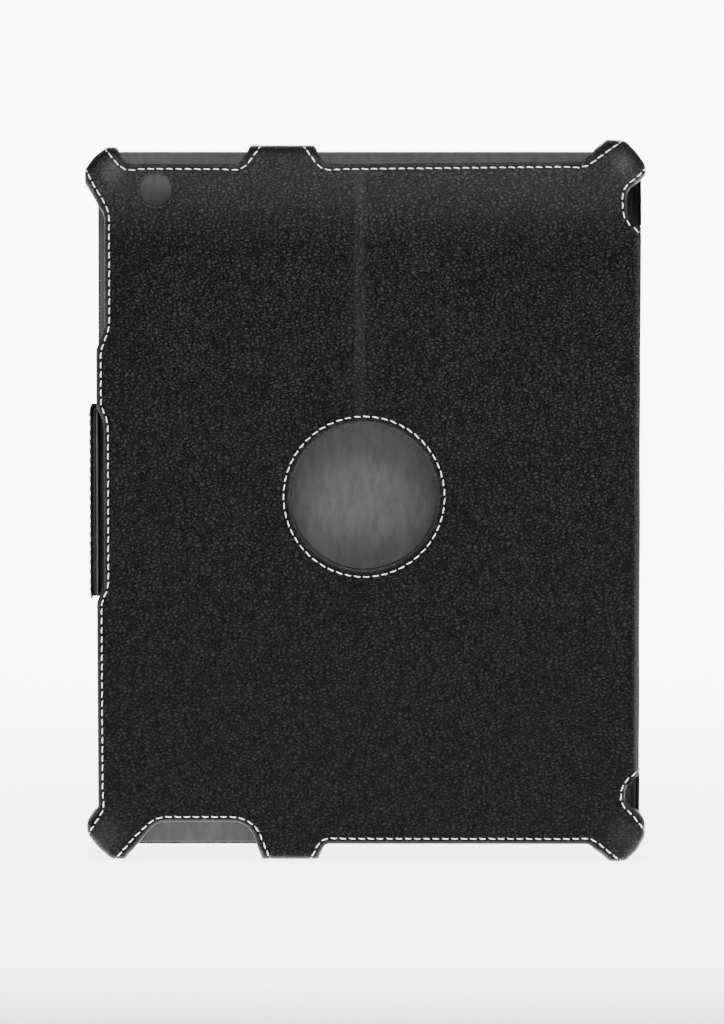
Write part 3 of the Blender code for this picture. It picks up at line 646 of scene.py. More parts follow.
def run_off(line):
    """The places that carry a row's end straight on, as far as the outline."""
    direction = line[-1] - line[-6]
    direction = direction / np.linalg.norm(direction)
    steps = [line[-1] + direction * 0.15 * k for k in range(1, 200)]
    within = inside(np.array(steps), [back_loop])
    return steps[: 0 if within.all() else int(np.argmin(within))]


def face_y(points):
    """The outside of the back, before anything is pressed into it."""
    numbers, far = nearest(edge_tree, points)
    return BACK_Y + fall(far, edge_rounds[numbers])


window_loop = circle(*WINDOW, 300)
camera_loop = circle(*CAMERA_HOLE, 84)
outside_edge = outside_tablet(back_loop)
cup_share = smooth(outside_edge, 0.8, 2.2)
cup_share[on_seam] = 0.0
spread_share = np.maximum.reduce([np.roll(cup_share, k) for k in range(-4, 5)])
kernel = np.exp(-((np.arange(-8, 9) / 4.0) ** 2))
wide = np.concatenate([spread_share[-8:], spread_share, spread_share[:8]])
spread_share = np.convolve(wide, kernel / kernel.sum(), mode="valid")
back_rounds = EDGE_ROUND + (CUP_ROUND - EDGE_ROUND) * spread_share
round_limit = EDGE_ROUND + (CUP_ROUND - EDGE_ROUND) * smooth(outside_edge, -1.5, 2.5)
back_rounds = np.minimum(back_rounds, round_limit)
back_rounds[on_seam] = 0.0
window_rounds = np.full(len(window_loop), 1.0)
camera_rounds = np.full(len(camera_loop), 0.7)
edge_points = np.vstack([back_loop, window_loop, camera_loop])
edge_rounds = np.concatenate([back_rounds, window_rounds, camera_rounds])
edge_tree = tree_of(edge_points)
full_wall = LIP_DEPTH - LIP_ROUND
wall_depths = EDGE_DEPTH + (full_wall - EDGE_DEPTH) * cup_share


def row_in_space(row):
    """A row on the face, carried over the edge and down the wall at each end that runs off a cup."""
    flat = [np.array(p) for p in row]
    for flip in (False, True):
        line = flat[::-1] if flip else flat
        tail = run_off(np.array(line))
        line = line + [np.array(p) for p in tail]
        flat = line[::-1] if flip else line
    flat = even(np.array(flat), ROW_STEP, closed=False)
    points = [np.array([p[0], y, p[1]]) for p, y in zip(flat, face_y(flat))]
    for flip in (False, True):
        line = points[::-1] if flip else points
        end = loop_index((line[-1][0], line[-1][2]))
        if wall_depths[end] > LIP_DEPTH / 2:
            here = back_loop[end]
            start = line[-1][1] - BACK_Y
            downs = np.arange(max(start, back_rounds[end]) + 0.3, full_wall - 0.4, ROW_STEP)
            line = line + [np.array([here[0], BACK_Y + d, here[1]]) for d in downs]
        points = line[::-1] if flip else line
    return np.array(points)


rows = [stitch_row(*row) for row in STITCH_ROWS]
rows_in_space = [row_in_space(row) for row in rows]
window_row = circle(*WINDOW[:2], WINDOW_ROW_RADIUS, 440)
window_row = np.vstack([window_row, window_row[:1]])
rows_in_space.append(np.array([[x, BACK_Y, z] for x, z in window_row]))


def row_parts(row):
    """How far along a row each of its points is, its pitch, and how many stitches it has."""
    travel = travel_of(row)
    count = max(1, round(travel[-1] / STITCH_PITCH))
    return travel, travel[-1] / count, count


def holes_of(row):
    travel, pitch, count = row_parts(row)
    return at_marks(row, travel, np.arange(count + 1) * pitch)


# ---------------------------------------------------------------- the skin of the back
def strip_points(line, offsets, gap):
    """Points along a line on the face and beside it, for a pressed groove."""
    line = even(line, gap, closed=False)
    along = units(np.gradient(line, axis=0))
    side = np.stack([along[:, 1], -along[:, 0]], axis=1)
    return np.vstack([line + side * offset for offset in offsets])


def wall(loop, tops, bottoms, skip=None):
    """The wall that hangs from an edge, made of columns of different lengths zipped together."""
    verts, starts, counts = [], [], []
    for position, top, bottom in zip(loop, tops, bottoms):
        count = max(2, math.ceil((bottom - top) / 0.9)) + 1
        starts.append(len(verts))
        counts.append(count)
        verts += [(position[0], BACK_Y + d, position[1]) for d in np.linspace(top, bottom, count)]
    faces = []
    for n in range(len(loop)):
        after = (n + 1) % len(loop)
        if skip is not None and skip[n] and skip[after]:
            continue
        i, j = 0, 0
        while i < counts[n] - 1 or j < counts[after] - 1:
            step_i = (i + 1) / (counts[n] - 1) if i < counts[n] - 1 else 2.0
            step_j = (j + 1) / (counts[after] - 1) if j < counts[after] - 1 else 2.0
            a, b = starts[n] + i, starts[after] + j
            if step_i <= step_j:
                faces.append((a, a + 1, b))
                i += 1
            else:
                faces.append((a, b + 1, b))
                j += 1
    return np.array(verts), np.array(faces)


def lips():
    """The parts of the skin that turn in over the tablet's front, one for each cup and tab."""
    full = cup_share > 0.999
    runs, current = [], []
    for n in np.roll(np.arange(len(back_loop)), -int(np.argmin(full))):
        if full[n]:
            current.append(n)
        elif current:
            runs.append(current)
            current = []
    made = []
    for run in runs:
        line = back_loop[run]
        start, end = line[0], line[-1]
        middle = line[len(line) // 2]
        is_tab = abs(middle[0]) < 60
        reach = 5.2 if is_tab else 2.2
        across = start - end
        inward = np.array([-across[1], across[0]]) / np.linalg.norm(across)
        if (middle - (start + end) / 2) @ inward > 0:
            inward = -inward
        control = [
            (*end, 0.0),
            (*(end + across * 0.10 + inward * reach), 2.2),
            (*(end + across * 0.90 + inward * reach), 2.2),
            (*start, 0.0),
            (*middle, 0.0),
        ]
        inner = spaced(rounded(control)[:-1], 0.8, closed=False)[1:-1]
        verts, faces = field([np.vstack([line, inner])], [0.08, 0.25, 0.5, 0.9, 1.4], [], 1.1)
        _, far = nearest(tree_of(spaced(line, 0.1, closed=False)), verts)
        _, free = nearest(tree_of(spaced(inner, 0.1, closed=False)), verts)
        depth = LIP_DEPTH - fall(far, LIP_ROUND)
        depth = depth - 0.25 * (1 - smooth(free, 0.0, 0.5)) * smooth(far, 0.3, 1.2)
        made.append((np.stack([verts[:, 0], BACK_Y + depth, verts[:, 1]], axis=1), faces))
    return made


def back_surface():
    """The outside of the back's leather, from the face over the edges and cups to the lips."""
    beside = (0.0, -0.35, 0.35, -0.75, 0.75)
    groove = [(strip_points(row, beside, 0.53), 0.2) for row in [*rows, window_row]]
    for x, _ in CREASE_LINES:
        line = np.array([(x, CREASE_LOW), (x, CREASE_HIGH)])
        groove.append((strip_points(line, (0.0, -0.35, 0.35, -0.8, 0.8), 1.2), 0.25))
    line = np.array([(SEAM_X - 0.1, SPINE_LOW - 1.5), (SEAM_X - 0.1, SPINE_HIGH + 1.6)])
    groove.append((strip_points(line, (-0.3, -0.7, -1.2), 1.2), 0.2))
    loops = [back_loop, window_loop, camera_loop]
    verts, faces = field(loops, [0.05, 0.18, 0.4, 0.7, 1.1, 1.7, 2.4, 3.2, 4.4], groove, 2.3)
    face = (np.stack([verts[:, 0], face_y(verts), verts[:, 1]], axis=1), faces)
    walls = [
        wall(back_loop, back_rounds, wall_depths, on_seam),
        wall(window_loop, window_rounds, np.full(len(window_loop), EDGE_DEPTH)),
        wall(camera_loop, camera_rounds, np.full(len(camera_loop), EDGE_DEPTH)),
    ]
    verts, faces = merged([face, *walls, *lips()])
    faces = oriented(verts, faces)
    flat = np.abs(verts[:, 1] - BACK_Y) < 1e-6
    if normals_of(verts, faces)[flat][:, 1].mean() > 0:
        faces = faces[:, ::-1]
    return verts, faces


def pressed(verts, faces):
    """The surface with its stitch grooves, holes, fold lines and slight unevenness pressed in."""
    _, to_row = nearest(tree_of(np.vstack(rows_in_space)), verts)
    _, to_hole = nearest(tree_of(np.vstack([holes_of(row) for row in rows_in_space])), verts)
    sink = 0.16 * bell(to_row, 0.5) + 0.26 * bell(to_hole, 0.42)
    x, y, z = verts.T
    on_face = smooth(-(y - BACK_Y), -1.2, -0.2)
    above = smooth(z, 120.0, 160.0)
    wander = waves(0.02 * z, 0.3, 0.0) * 0.5
    for line_x, deep in CREASE_LINES:
        sink += on_face * (0.06 + 0.36 * above) * deep * bell(x - line_x - wander, 0.55)
    sink -= on_face * bell(x - CREASE_X, 1.9) * 0.06 * (0.4 + 0.6 * above)
    beside_spine = smooth(z, 24.0, SPINE_LOW) * (1 - smooth(z, 221.0, 227.0))
    sink += 0.07 * on_face * bell(x - SEAM_X, 0.5) * beside_spine
    numbers, far = nearest(edge_tree, np.stack([x, z], axis=1))
    free_edge = (1 - smooth(edge_rounds[numbers], 0.9, 2.4)) * (edge_rounds[numbers] > 0)
    sink += on_face * free_edge * 0.34 * (1 - smooth(far, 0.7, 2.3))
    for centre_x, centre_z, height in CUP_SWELLS:
        swell = bell(np.hypot(x - centre_x, z - centre_z), CUP_SPREAD)
        sink -= height * swell * smooth(far, 0.0, 4.0) * on_face
    calm = smooth(far, 1.0, 9.0) * on_face
    for scale, amount in ((0.018, 0.22), (0.05, 0.07), (0.14, 0.018)):
        sink += waves(x * scale, 1.7, z * scale) * amount * calm
    return verts - normals_of(verts, faces) * sink[:, None]


def wear_and_painted_highlights(verts):
    """Per point, real rubbing on the back's free edges, plus painted highlights on the cups, beside the
    crease and along the top.
    """
    x, y, z = verts.T
    numbers, far = nearest(edge_tree, verts[:, [0, 2]])
    # Real rubbing along the free edges
    wear_and_highlight = (1 - smooth(far, 0.2, 1.6)) * 0.8 * (edge_rounds[numbers] > 0)
    outside = smooth(-(y - BACK_Y), -1.2, -0.2)
    # Painted highlights on the cups, strongest on the two upper ones
    for centre_x, centre_z, height in CUP_SWELLS:
        swell = bell(np.hypot(x - centre_x, z - centre_z - 2.0), CUP_SPREAD)
        wear_and_highlight = np.maximum(wear_and_highlight, 0.5 * height * outside * swell)
    # A painted highlight band beside the crease above the middle, and a painted lighter band along the top
    # edge
    crease = 0.26 * bell(x - CREASE_X, 2.6) * smooth(z, 115.0, 190.0)
    return np.maximum(wear_and_highlight, outside * (crease + 0.34 * smooth(z, 214.0, 240.0)))


outer, outer_faces = back_surface()
outer = pressed(outer, outer_faces)
skin_verts, skin_faces = thickened(outer, outer_faces, LEATHER)
back_skin = piece("back_skin", skin_verts, skin_faces, leather, wear_and_painted_highlights(outer))
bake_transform(back_skin)
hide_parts("far_back_leather", "spine_side_back_leather")


# ---------------------------------------------------------------- stitches
def thread_loop(points, normals, radius):
    """One stitch: a two-ply twisted thread that rises out of one hole and dives into the next."""
    count = len(points)
    sides = 8
    along = units(np.gradient(points, axis=0))
    side = units(np.cross(along, normals))
    up = np.cross(side, along)
    verts, faces = [], []
    phase = rng.uniform(0, math.pi)
    for n in range(count):
        t = n / (count - 1)
        size = radius * (0.55 + 0.45 * min(1.0, 5 * min(t, 1 - t)))
        for k in range(sides):
            a = 2 * math.pi * k / sides
            reach = size * (1 + 0.16 * math.cos(2 * (a - phase - 5.2 * t)))
            verts.append(points[n] + side[n] * math.cos(a) * reach + up[n] * math.sin(a) * reach)
    for n in range(count - 1):
        for k in range(sides):
            a, b = n * sides + k, n * sides + (k + 1) % sides
            faces += [(a, b, b + sides), (a, b + sides, a + sides)]
    for end in (0, (count - 1) * sides):
        ring = [(end, end + k + 1, end + k) for k in range(1, sides - 1)]
        faces += ring if end == 0 else [f[::-1] for f in ring]
    return verts, faces


def stitched(name, row_list, surface):
    """All the stitches of some rows as one mesh, lying on a surface."""
    verts, faces = [], []
    t = np.linspace(0, 1, 9)
    height = 0.2 * np.sin(math.pi * t) ** 0.45 - 0.16 * (np.abs(2 * t - 1) ** 6) * 2
    for row in row_list:
        travel, pitch, count = row_parts(row)
        for n in range(count):
            start = n * pitch + (pitch - STITCH_LENGTH) / 2 + rng.uniform(-0.06, 0.06)
            base = at_marks(row, travel, start + t * STITCH_LENGTH)
            found = [surface.find_nearest(Vector(p), 6.0) for p in base]
            if any(f[0] is None for f in found):
                continue
            points = np.array([tuple(f[0]) for f in found])
            normals = np.array([tuple(f[1]) for f in found])
            normals = np.roll(normals, 1, 0) + normals + np.roll(normals, -1, 0)
            normals[0], normals[-1] = normals[1], normals[-2]
            normals = units(normals)
            side = units(np.cross(np.gradient(points, axis=0), normals))
            tilt = STITCH_LEAN + rng.uniform(-0.09, 0.09)
            points = points + side * ((t - 0.5) * tilt * 1.6)[:, None] + normals * height[:, None]
            v, f = thread_loop(points, normals, THREAD_RADIUS * rng.uniform(0.94, 1.06))
            faces += [tuple(k + len(verts) for k in face) for face in f]
            verts += v
    made = piece(name, np.array(verts), np.array(faces), thread)
    return made


def surface_tree(verts, faces):
    return BVHTree.FromPolygons(verts.tolist(), faces.tolist())


skin_tree = surface_tree(outer, outer_faces)
far_stitches = stitched("far_stitching", [rows_in_space[k] for k in (1, 2, 3)], skin_tree)
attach(far_stitches, "far_half")
spine_stitches = stitched("spine_side_stitching", [rows_in_space[k] for k in (5, 6)], skin_tree)
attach(spine_stitches, "spine_half")
crossing = stitched("crease_crossing_stitching", [rows_in_space[k] for k in (0, 4, 7)], skin_tree)
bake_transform(crossing)


# ---------------------------------------------------------------- sheets bent round the sides
def bent_sheet(profile, low, high, gap=1.2, roll=0.5):
    """A sheet swept along Z on a profile of (x, y) points, with its two ends turned in a little.

    low and high give the sheet's two ends at each point of the profile."""
    along = units(np.gradient(profile, axis=0))
    inward = np.stack([-along[:, 1], along[:, 0]], axis=1)
    count = max(4, round((high.min() - low.max() - 2) / gap))
    rolled = [(step, fall(np.array(step), roll)) for step in (0.0, 0.1, 0.3, 0.6, 1.0)]
    verts = []
    for n, (x, y) in enumerate(profile):
        between = high[n] - low[n] - 2.0
        across = [(low[n] + step, sink) for step, sink in rolled]
        across += [(low[n] + 1.0 + between * (k / count), 0.0) for k in range(1, count)]
        across += [(high[n] - step, sink) for step, sink in reversed(rolled)]
        verts += [(x + inward[n, 0] * sink, y + inward[n, 1] * sink, z) for z, sink in across]
    wide = len(across)
    faces = []
    for n in range(len(profile) - 1):
        for a in range(n * wide, (n + 1) * wide - 1):
            faces += [(a, a + 1, a + wide + 1), (a, a + wide + 1, a + wide)]
    return np.array(verts), np.array(faces)


def facing(verts, faces, direction):
    """The sheet's triangles turned so that most of them face a direction."""
    normals = normals_of(verts, faces)
    return faces if (normals @ np.array(direction)).mean() > 0 else faces[:, ::-1]


def arc(centre, radius, start, end, count):
    angles = np.radians(np.linspace(start, end, count))
    return [(centre[0] + radius * math.cos(a), centre[1] + radius * math.sin(a)) for a in angles]


def wavering(verts, scale, amount):
    """The sheet with a slight wave in X."""
    moved = verts.copy()
    moved[:, 0] += waves(verts[:, 1] * scale, verts[:, 2] * scale, verts[:, 0] * scale) * amount
    return moved


def slanted(x):
    """How much further the spine's leather reaches than its straight part, beside a slot's slant."""
    return np.clip((94.05 - x) * 4.2 / 3.9, 0.0, None)


def spine_profile(side):
    """The leather from the seam, round the fold, to the middle of the spine. side is -1 for the back."""
    corner = (SPINE_OUT - FOLD_ROUND, side * (COVER_Y - FOLD_ROUND))
    flat = [(x, side * COVER_Y) for x in np.linspace(SEAM_X, corner[0], 6)[:-1]]
    bend = arc(corner, FOLD_ROUND, side * 90, 0, 13)
    down = [(SPINE_OUT, y) for y in np.linspace(corner[1], 0.0, 8)[1:]]
    return np.array(flat + bend + down)


def cover_top_at(across):
    """The cover's top edge on its spine side, at a distance counted along the leather round the fold."""
    past = np.clip(across - COVER_ARC_X, 0.0, COVER_CORNER)
    return COVER_TOP - COVER_CORNER + np.sqrt(COVER_CORNER**2 - past**2)


def spine_ends(profile, side):
    """The two ends of the spine's leather at each point of its profile, from the seam to the middle."""
    if side < 0:
        extra = slanted(profile[:, 0])
        return SPINE_LOW - extra, SPINE_HIGH + extra
    travel = travel_of(profile)
    high = cover_top_at(SEAM_X + travel)
    low = COVER_TOP + COVER_BOTTOM - high
    back = smooth(travel, 6.5, travel[-1])
    return low + (SPINE_LOW - low) * back, high + (SPINE_HIGH - high) * back


def fold_row(profile, z_at):
    """A row of stitching across a fold, near one of its ends."""
    return even(np.column_stack([profile, z_at]), ROW_STEP, closed=False)


FOLDS = (
    ("spine_back_fold", -1, ("spine_half", "spine"), (0.0918, -0.0096, 0.125), (0.09505, -0.0052, 0.125)),
    ("spine_cover_fold", 1, ("spine", "cover"), (0.09505, 0.0052, 0.125), (0.0918, 0.0096, 0.125)),
)
for name, side, bodies, start, end in FOLDS:
    profile = spine_profile(side)
    low, high = spine_ends(profile, side)
    verts, faces = bent_sheet(profile, low, high)
    faces = facing(verts, faces, (1.0, side * 0.5, 0.0))
    x, y, z = verts.T
    press = 0.07 * bell(x - SEAM_X, 0.5) * (np.abs(y) > 9.0)
    calm = smooth(x, SEAM_X + 0.5, SEAM_X + 2.5) * smooth(np.abs(y), 0.0, 4.0)
    press = press + waves(0.4, y * 0.1, z * 0.035) * 0.22 * calm
    verts = verts - normals_of(verts, faces) * press[:, None]
    # Painted highlight along the outer curve of the fold, stronger low down, stored in the per-point
    # attribute that the leather reads
    painted_fold_highlight = bell(verts[:, 0] - 94.0, 0.9) * (0.75 - 0.45 * smooth(verts[:, 2], 40.0, 190.0))
    fold = piece(name, *thickened(verts, faces, LEATHER), leather, painted_fold_highlight)
    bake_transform(fold)
    if side < 0:
        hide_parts("spine_leather")
        on_fold = profile[:, 0] > SEAM_X + 0.5
        end_rows = [
            fold_row(profile[on_fold], high[on_fold] - 1.9),
            fold_row(profile[on_fold], low[on_fold] + 1.9),
        ]
        fold_stitches = stitched("spine_fold_stitching", end_rows, surface_tree(verts, faces))
        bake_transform(fold_stitches)


# ---------------------------------------------------------------- the cover's skin
def cover_surface(outline):
    """The outside of the cover's leather, with its free edges turned down and its seam left open."""
    loop = spaced(rounded(outline), 0.9)
    verts, faces = field([loop], [0.06, 0.2, 0.45, 0.8, 1.3, 2.0, 3.0, 4.5], [], 3.0)
    seam = np.abs(loop[:, 0] - SEAM_X) < 1e-6
    _, far = nearest(tree_of(spaced(loop[~seam], 0.2, closed=False)), verts)
    x, z = verts.T
    shift = waves(x * 0.02, 4.2, z * 0.02) * 0.2 * smooth(far, 1.0, 9.0) * smooth(SEAM_X - x, 0.5, 8.0)
    shift += 0.14 * bell(x - SEAM_X, 0.5)
    flap = 0.3 * (1 - smooth(far, 0.7, 2.3))
    space = np.stack([x, COVER_Y - (fall(far, EDGE_ROUND) + shift + flap), z], axis=1)
    top = EDGE_ROUND + 0.3
    depths = np.linspace(top, EDGE_DEPTH, 4)
    wall_verts = np.array([(px, COVER_Y - d, pz) for px, pz in loop for d in depths])
    wall_faces = []
    for n in range(len(loop)):
        after = (n + 1) % len(loop)
        if seam[n] and seam[after]:
            continue
        for k in range(3):
            a, b = n * 4 + k, after * 4 + k
            wall_faces += [(a, a + 1, b), (b, a + 1, b + 1)]
    corner = np.abs(space[:, 1] - (COVER_Y - top)) < 0.02
    space[corner, 1] = COVER_Y - top
    verts, faces = merged([(space, faces), (wall_verts, np.array(wall_faces))])
    return verts, facing(verts, oriented(verts, faces), (0.0, 1.0, 0.0))


corner_x = np.linspace(COVER_ARC_X, SEAM_X, 9)
corner_z = cover_top_at(corner_x)
lower_corner = [(x, COVER_TOP + COVER_BOTTOM - z, 0.0) for x, z in zip(corner_x, corner_z)]
upper_corner = [(x, z, 0.0) for x, z in zip(corner_x[::-1], corner_z[::-1])]
COVER_OUTLINE = [
    (COVER_LEFT, COVER_BOTTOM, COVER_CORNER),
    *lower_corner,
    *upper_corner,
    (COVER_LEFT, COVER_TOP, COVER_CORNER),
]
cover_verts, cover_faces = cover_surface(COVER_OUTLINE)
cover_skin = piece("cover_skin", *thickened(cover_verts, cover_faces, LEATHER), leather)
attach(cover_skin, "cover")
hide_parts("cover_leather")


def open_row(points, inset):
    """A row of stitching inside an open line that runs anticlockwise."""
    line = even(points, 0.6, closed=False)
    along = units(np.gradient(line, axis=0))
    moved = line + np.stack([-along[:, 1], along[:, 0]], axis=1) * inset
    return np.array([[x, COVER_Y - 0.2, z] for x, z in moved])


cover_edge = [
    (COVER_LEFT, COVER_BOTTOM, COVER_CORNER),
    (94.6, COVER_BOTTOM, 0.0),
    (94.6, COVER_TOP, 0.0),
    (COVER_LEFT, COVER_TOP, COVER_CORNER),
]
cover_line = spaced(rounded(cover_edge), 0.8)
cover_line = np.roll(cover_line, -int(np.argmax(cover_line.sum(1))), 0)
cover_row = open_row(cover_line[cover_line[:, 0] <= SEAM_X - 1.5], 2.0)
cover_stitches = stitched("cover_stitching", [cover_row], surface_tree(cover_verts, cover_faces))
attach(cover_stitches, "cover")


# ---------------------------------------------------------------- the closure tab's leather
def closure_ends(y):
    """The tab's two ends at each depth, with its free corners cut off."""
    from_free = np.clip(y - CLOSURE_FREE_Y, 0.0, None)
    high = CLOSURE_HIGH - np.clip(3.0 - from_free, 0.0, None)
    low = CLOSURE_LOW + np.clip(4.5 - from_free, 0.0, None)
    return low, high


def tab_profile(top_y, radius):
    """From under the cover's edge, round the fold, and along the side to the free edge."""
    centre = (CLOSURE_OUT + radius, top_y - radius)
    flat = [(x, top_y) for x in np.linspace(-86.0, centre[0], 9)[:-1]]
    count = max(4, round((centre[1] - CLOSURE_FREE_Y) / 0.6))
    side = [(CLOSURE_OUT, y) for y in np.linspace(centre[1], CLOSURE_FREE_Y, count)[1:]]
    return np.array(flat + arc(centre, radius, 90, 180, 9) + side)


profile = tab_profile(10.15, 1.9)
verts, faces = bent_sheet(profile, *closure_ends(profile[:, 1]), 1.2, 0.4)
faces = facing(verts, faces, (-1.0, 0.3, 0.0))
x, y, z = verts.T
free_y = y - CLOSURE_FREE_Y
end_far = np.minimum(z - CLOSURE_LOW, CLOSURE_HIGH - z)
sink = 0.12 * bell(np.abs(free_y - CLOSURE_INSET), 0.4) * smooth(-x, 94.5, 95.6)
sink = sink + 0.12 * bell(end_far - CLOSURE_INSET, 0.4)
sink += 0.25 * (1 - smooth(free_y, 0.0, 0.8))
verts = verts - normals_of(verts, faces) * sink[:, None]
closure_skin = piece("closure_skin", *thickened(verts, faces, 0.75), leather)
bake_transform(closure_skin)
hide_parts("closure_leather")

low_z, high_z = CLOSURE_LOW + CLOSURE_INSET, CLOSURE_HIGH - CLOSURE_INSET
lower_end = [(CLOSURE_OUT, y, low_z) for y in np.arange(7.4, CLOSURE_FREE_Y + 4.4, -ROW_STEP)]
upper_end = [(CLOSURE_OUT, y, high_z) for y in np.arange(CLOSURE_FREE_Y + 3.2, 7.4, ROW_STEP)]
row_z = [z for z in np.arange(low_z, high_z, ROW_STEP) if CLOSURE_LOW + 4.4 < z < CLOSURE_HIGH - 3.4]
side_row = [(CLOSURE_OUT, CLOSURE_FREE_Y + CLOSURE_INSET, z) for z in row_z]
closure_row = even(np.array(lower_end + side_row + upper_end), ROW_STEP, closed=False)
closure_stitches = stitched("closure_stitching", [closure_row], surface_tree(verts, faces))
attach(closure_stitches, "closure")


# ---------------------------------------------------------------- linings
def lining_sheet(name, loops, side):
    """A microfibre sheet with a slightly uneven nap and a soft cut edge. side is -1 on the back."""
    uneven = []
    for loop in loops:
        fuzz = waves(loop[:, 0] * 1.9, loop[:, 1] * 1.9, 0.0) * 0.10
        uneven.append(loop + outward(loop) * fuzz[:, None])
    verts, faces = field(uneven, [0.25, 0.7, 1.6, 3.0], [], 2.6)
    _, far = nearest(tree_of(np.vstack(uneven)), verts)
    x, z = verts.T
    wave = waves(x * 0.05, 9.0, z * 0.05)
    nap = waves(x * 0.6, 3.0, z * 0.6)
    y = side * (LINING_Y + fall(far, 0.3) * 0.8 + 0.05 + wave * 0.05 + nap * 0.03)
    space = np.stack([x, y, z], axis=1)
    made = piece(name, *thickened(space, facing(space, faces, (0.0, -side, 0.0)), LINING), lining_cloth)
    return made


def inset_outline(points, distance):
    """An outline's control points moved inwards."""
    moved = []
    for n, (x, z, radius) in enumerate(points):
        before, after = points[n - 1], points[(n + 1) % len(points)]
        in_x, in_z, _ = unit(x - before[0], z - before[1])
        out_x, out_z, _ = unit(after[0] - x, after[1] - z)
        reach = distance / (1 + in_x * out_x + in_z * out_z)
        if radius:
            turns_in = in_x * out_z - in_z * out_x > 0
            radius = max(radius - distance, 0.3) if turns_in else radius + distance
        moved.append((x - (in_z + out_z) * reach, z + (in_x + out_x) * reach, radius))
    return moved


def clipped_to_tablet(loop, margin):
    """A loop pulled in wherever it passes outside the tablet's outline."""
    out = []
    middle = np.array([0.0, MIDDLE_Z])
    half = np.array([HALF_WIDTH, (TABLET_TOP - TABLET_BOTTOM) / 2]) - TABLET_CORNER
    for p in loop:
        q = p - middle
        if outside_tablet(p[None])[0] > -margin:
            core = np.clip(q, -half, half)
            q = core + units((q - core)[None])[0] * (TABLET_CORNER - margin)
        out.append(q + middle)
    return np.array(thinned(out, 0.3))


inner_line = spaced(rounded(inset_outline(BACK_OUTLINE, 0.8)), 0.9)
inner_line = inner_line[np.abs(inner_line[:, 0]) < 100]
lining_loops = [
    clipped_to_tablet(inner_line, 0.1),
    circle(*WINDOW[:2], WINDOW[2] + 0.5, 150),
    circle(*CAMERA_HOLE[:2], CAMERA_HOLE[2] + 0.4, 48),
]
back_lining = lining_sheet("back_lining", lining_loops, -1)
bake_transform(back_lining)
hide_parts("far_back_lining", "spine_side_back_lining")

cover_lining_outline = [
    (COVER_LEFT + 0.5, COVER_BOTTOM + 0.5, 7.5),
    (LINING_X, COVER_BOTTOM + 0.5, 7.5),
    (LINING_X, COVER_TOP - 0.35, 7.5),
    (COVER_LEFT + 0.5, COVER_TOP - 0.35, 7.5),
]
cover_lining = lining_sheet("cover_lining_nap", [spaced(rounded(cover_lining_outline), 0.8)], 1)
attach(cover_lining, "cover")
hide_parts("cover_lining")


def side_lining(node, body, x, ys, low, high, thickness, facing_x):
    """A strip of lining up one side of the case, with its low and high edge at each of its ys."""
    verts, faces = bent_sheet(np.array([(x, y) for y in ys]), low, high, 0.9, 0.25)
    verts = wavering(verts, 0.5, 0.05)
    faces = facing(verts, faces, (facing_x, 0.0, 0.0))
    made = piece(node + "_nap", *thickened(verts, faces, thickness), lining_cloth)
    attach(made, body)
    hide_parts(node)


def fold_lining(name, profile, ends, side):
    """A strip of lining across a fold of the spine; ends holds its low and high edge at both sides."""
    line = even(np.array([(x, side * y) for x, y in profile + BEND]), 0.5, closed=False)
    travel = travel_of(line)
    share = smooth(travel, 2.5, travel[-1])
    low, high = (at_first + (at_last - at_first) * share for at_first, at_last in ends)
    verts, faces = bent_sheet(line, low, high, 0.9, 0.2)
    verts = wavering(verts, 0.7, 0.12)
    faces = facing(verts, faces, (-1.0, -0.3 * side, 0.0))
    made = piece(name, *thickened(verts, faces, 0.4), lining_cloth)
    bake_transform(made)


BEND = [(93.8, 6.1), (94.05, 5.4), (94.1, 4.4), (94.1, 3.2), (94.1, 2.0), (94.1, 0.8)]
SHORT_LOW, SHORT_HIGH = SPINE_LOW + 1.0, SPINE_HIGH - 1.0

ys = np.linspace(-5.8, 5.8, 16)
low, high = np.full(16, SPINE_LOW + 0.8), np.full(16, SPINE_HIGH - 0.8)
side_lining("spine_lining", "spine", LINING_X, ys, low, high, LINING, -1.0)
fold_lining(
    "cover_fold_nap",
    [(92.6, 6.55), (93.3, 6.45)],
    ((13.5, SHORT_LOW), (237.6, SHORT_HIGH)),
    1,
)
fold_lining(
    "back_fold_nap",
    [(90.9, 6.62), (92.4, 6.6), (93.3, 6.5)],
    ((SHORT_LOW, SHORT_LOW), (SHORT_HIGH, SHORT_HIGH)),
    -1,
)
ys = np.linspace(CLOSURE_FREE_Y + 0.7, 7.6, 16)
low, high = closure_ends(ys)
side_lining("closure_lining", "closure", -LINING_X, ys, low + 0.6, high - 0.6, 0.42, 1.0)


# ---------------------------------------------------------------- the frame's own hard pieces
SLOT_OF_NODE = {row["node"]: row["material_slot"] for row in frame["record"]["subparts"]}
for name, node in frame["nodes"].items():
    kind = SLOT_OF_NODE.get(name)
    if kind in HARD_MATERIALS:
        node.data.materials.clear()
        node.data.materials.append(dyed_board if name == "closure_stiffener" else HARD_MATERIALS[kind])


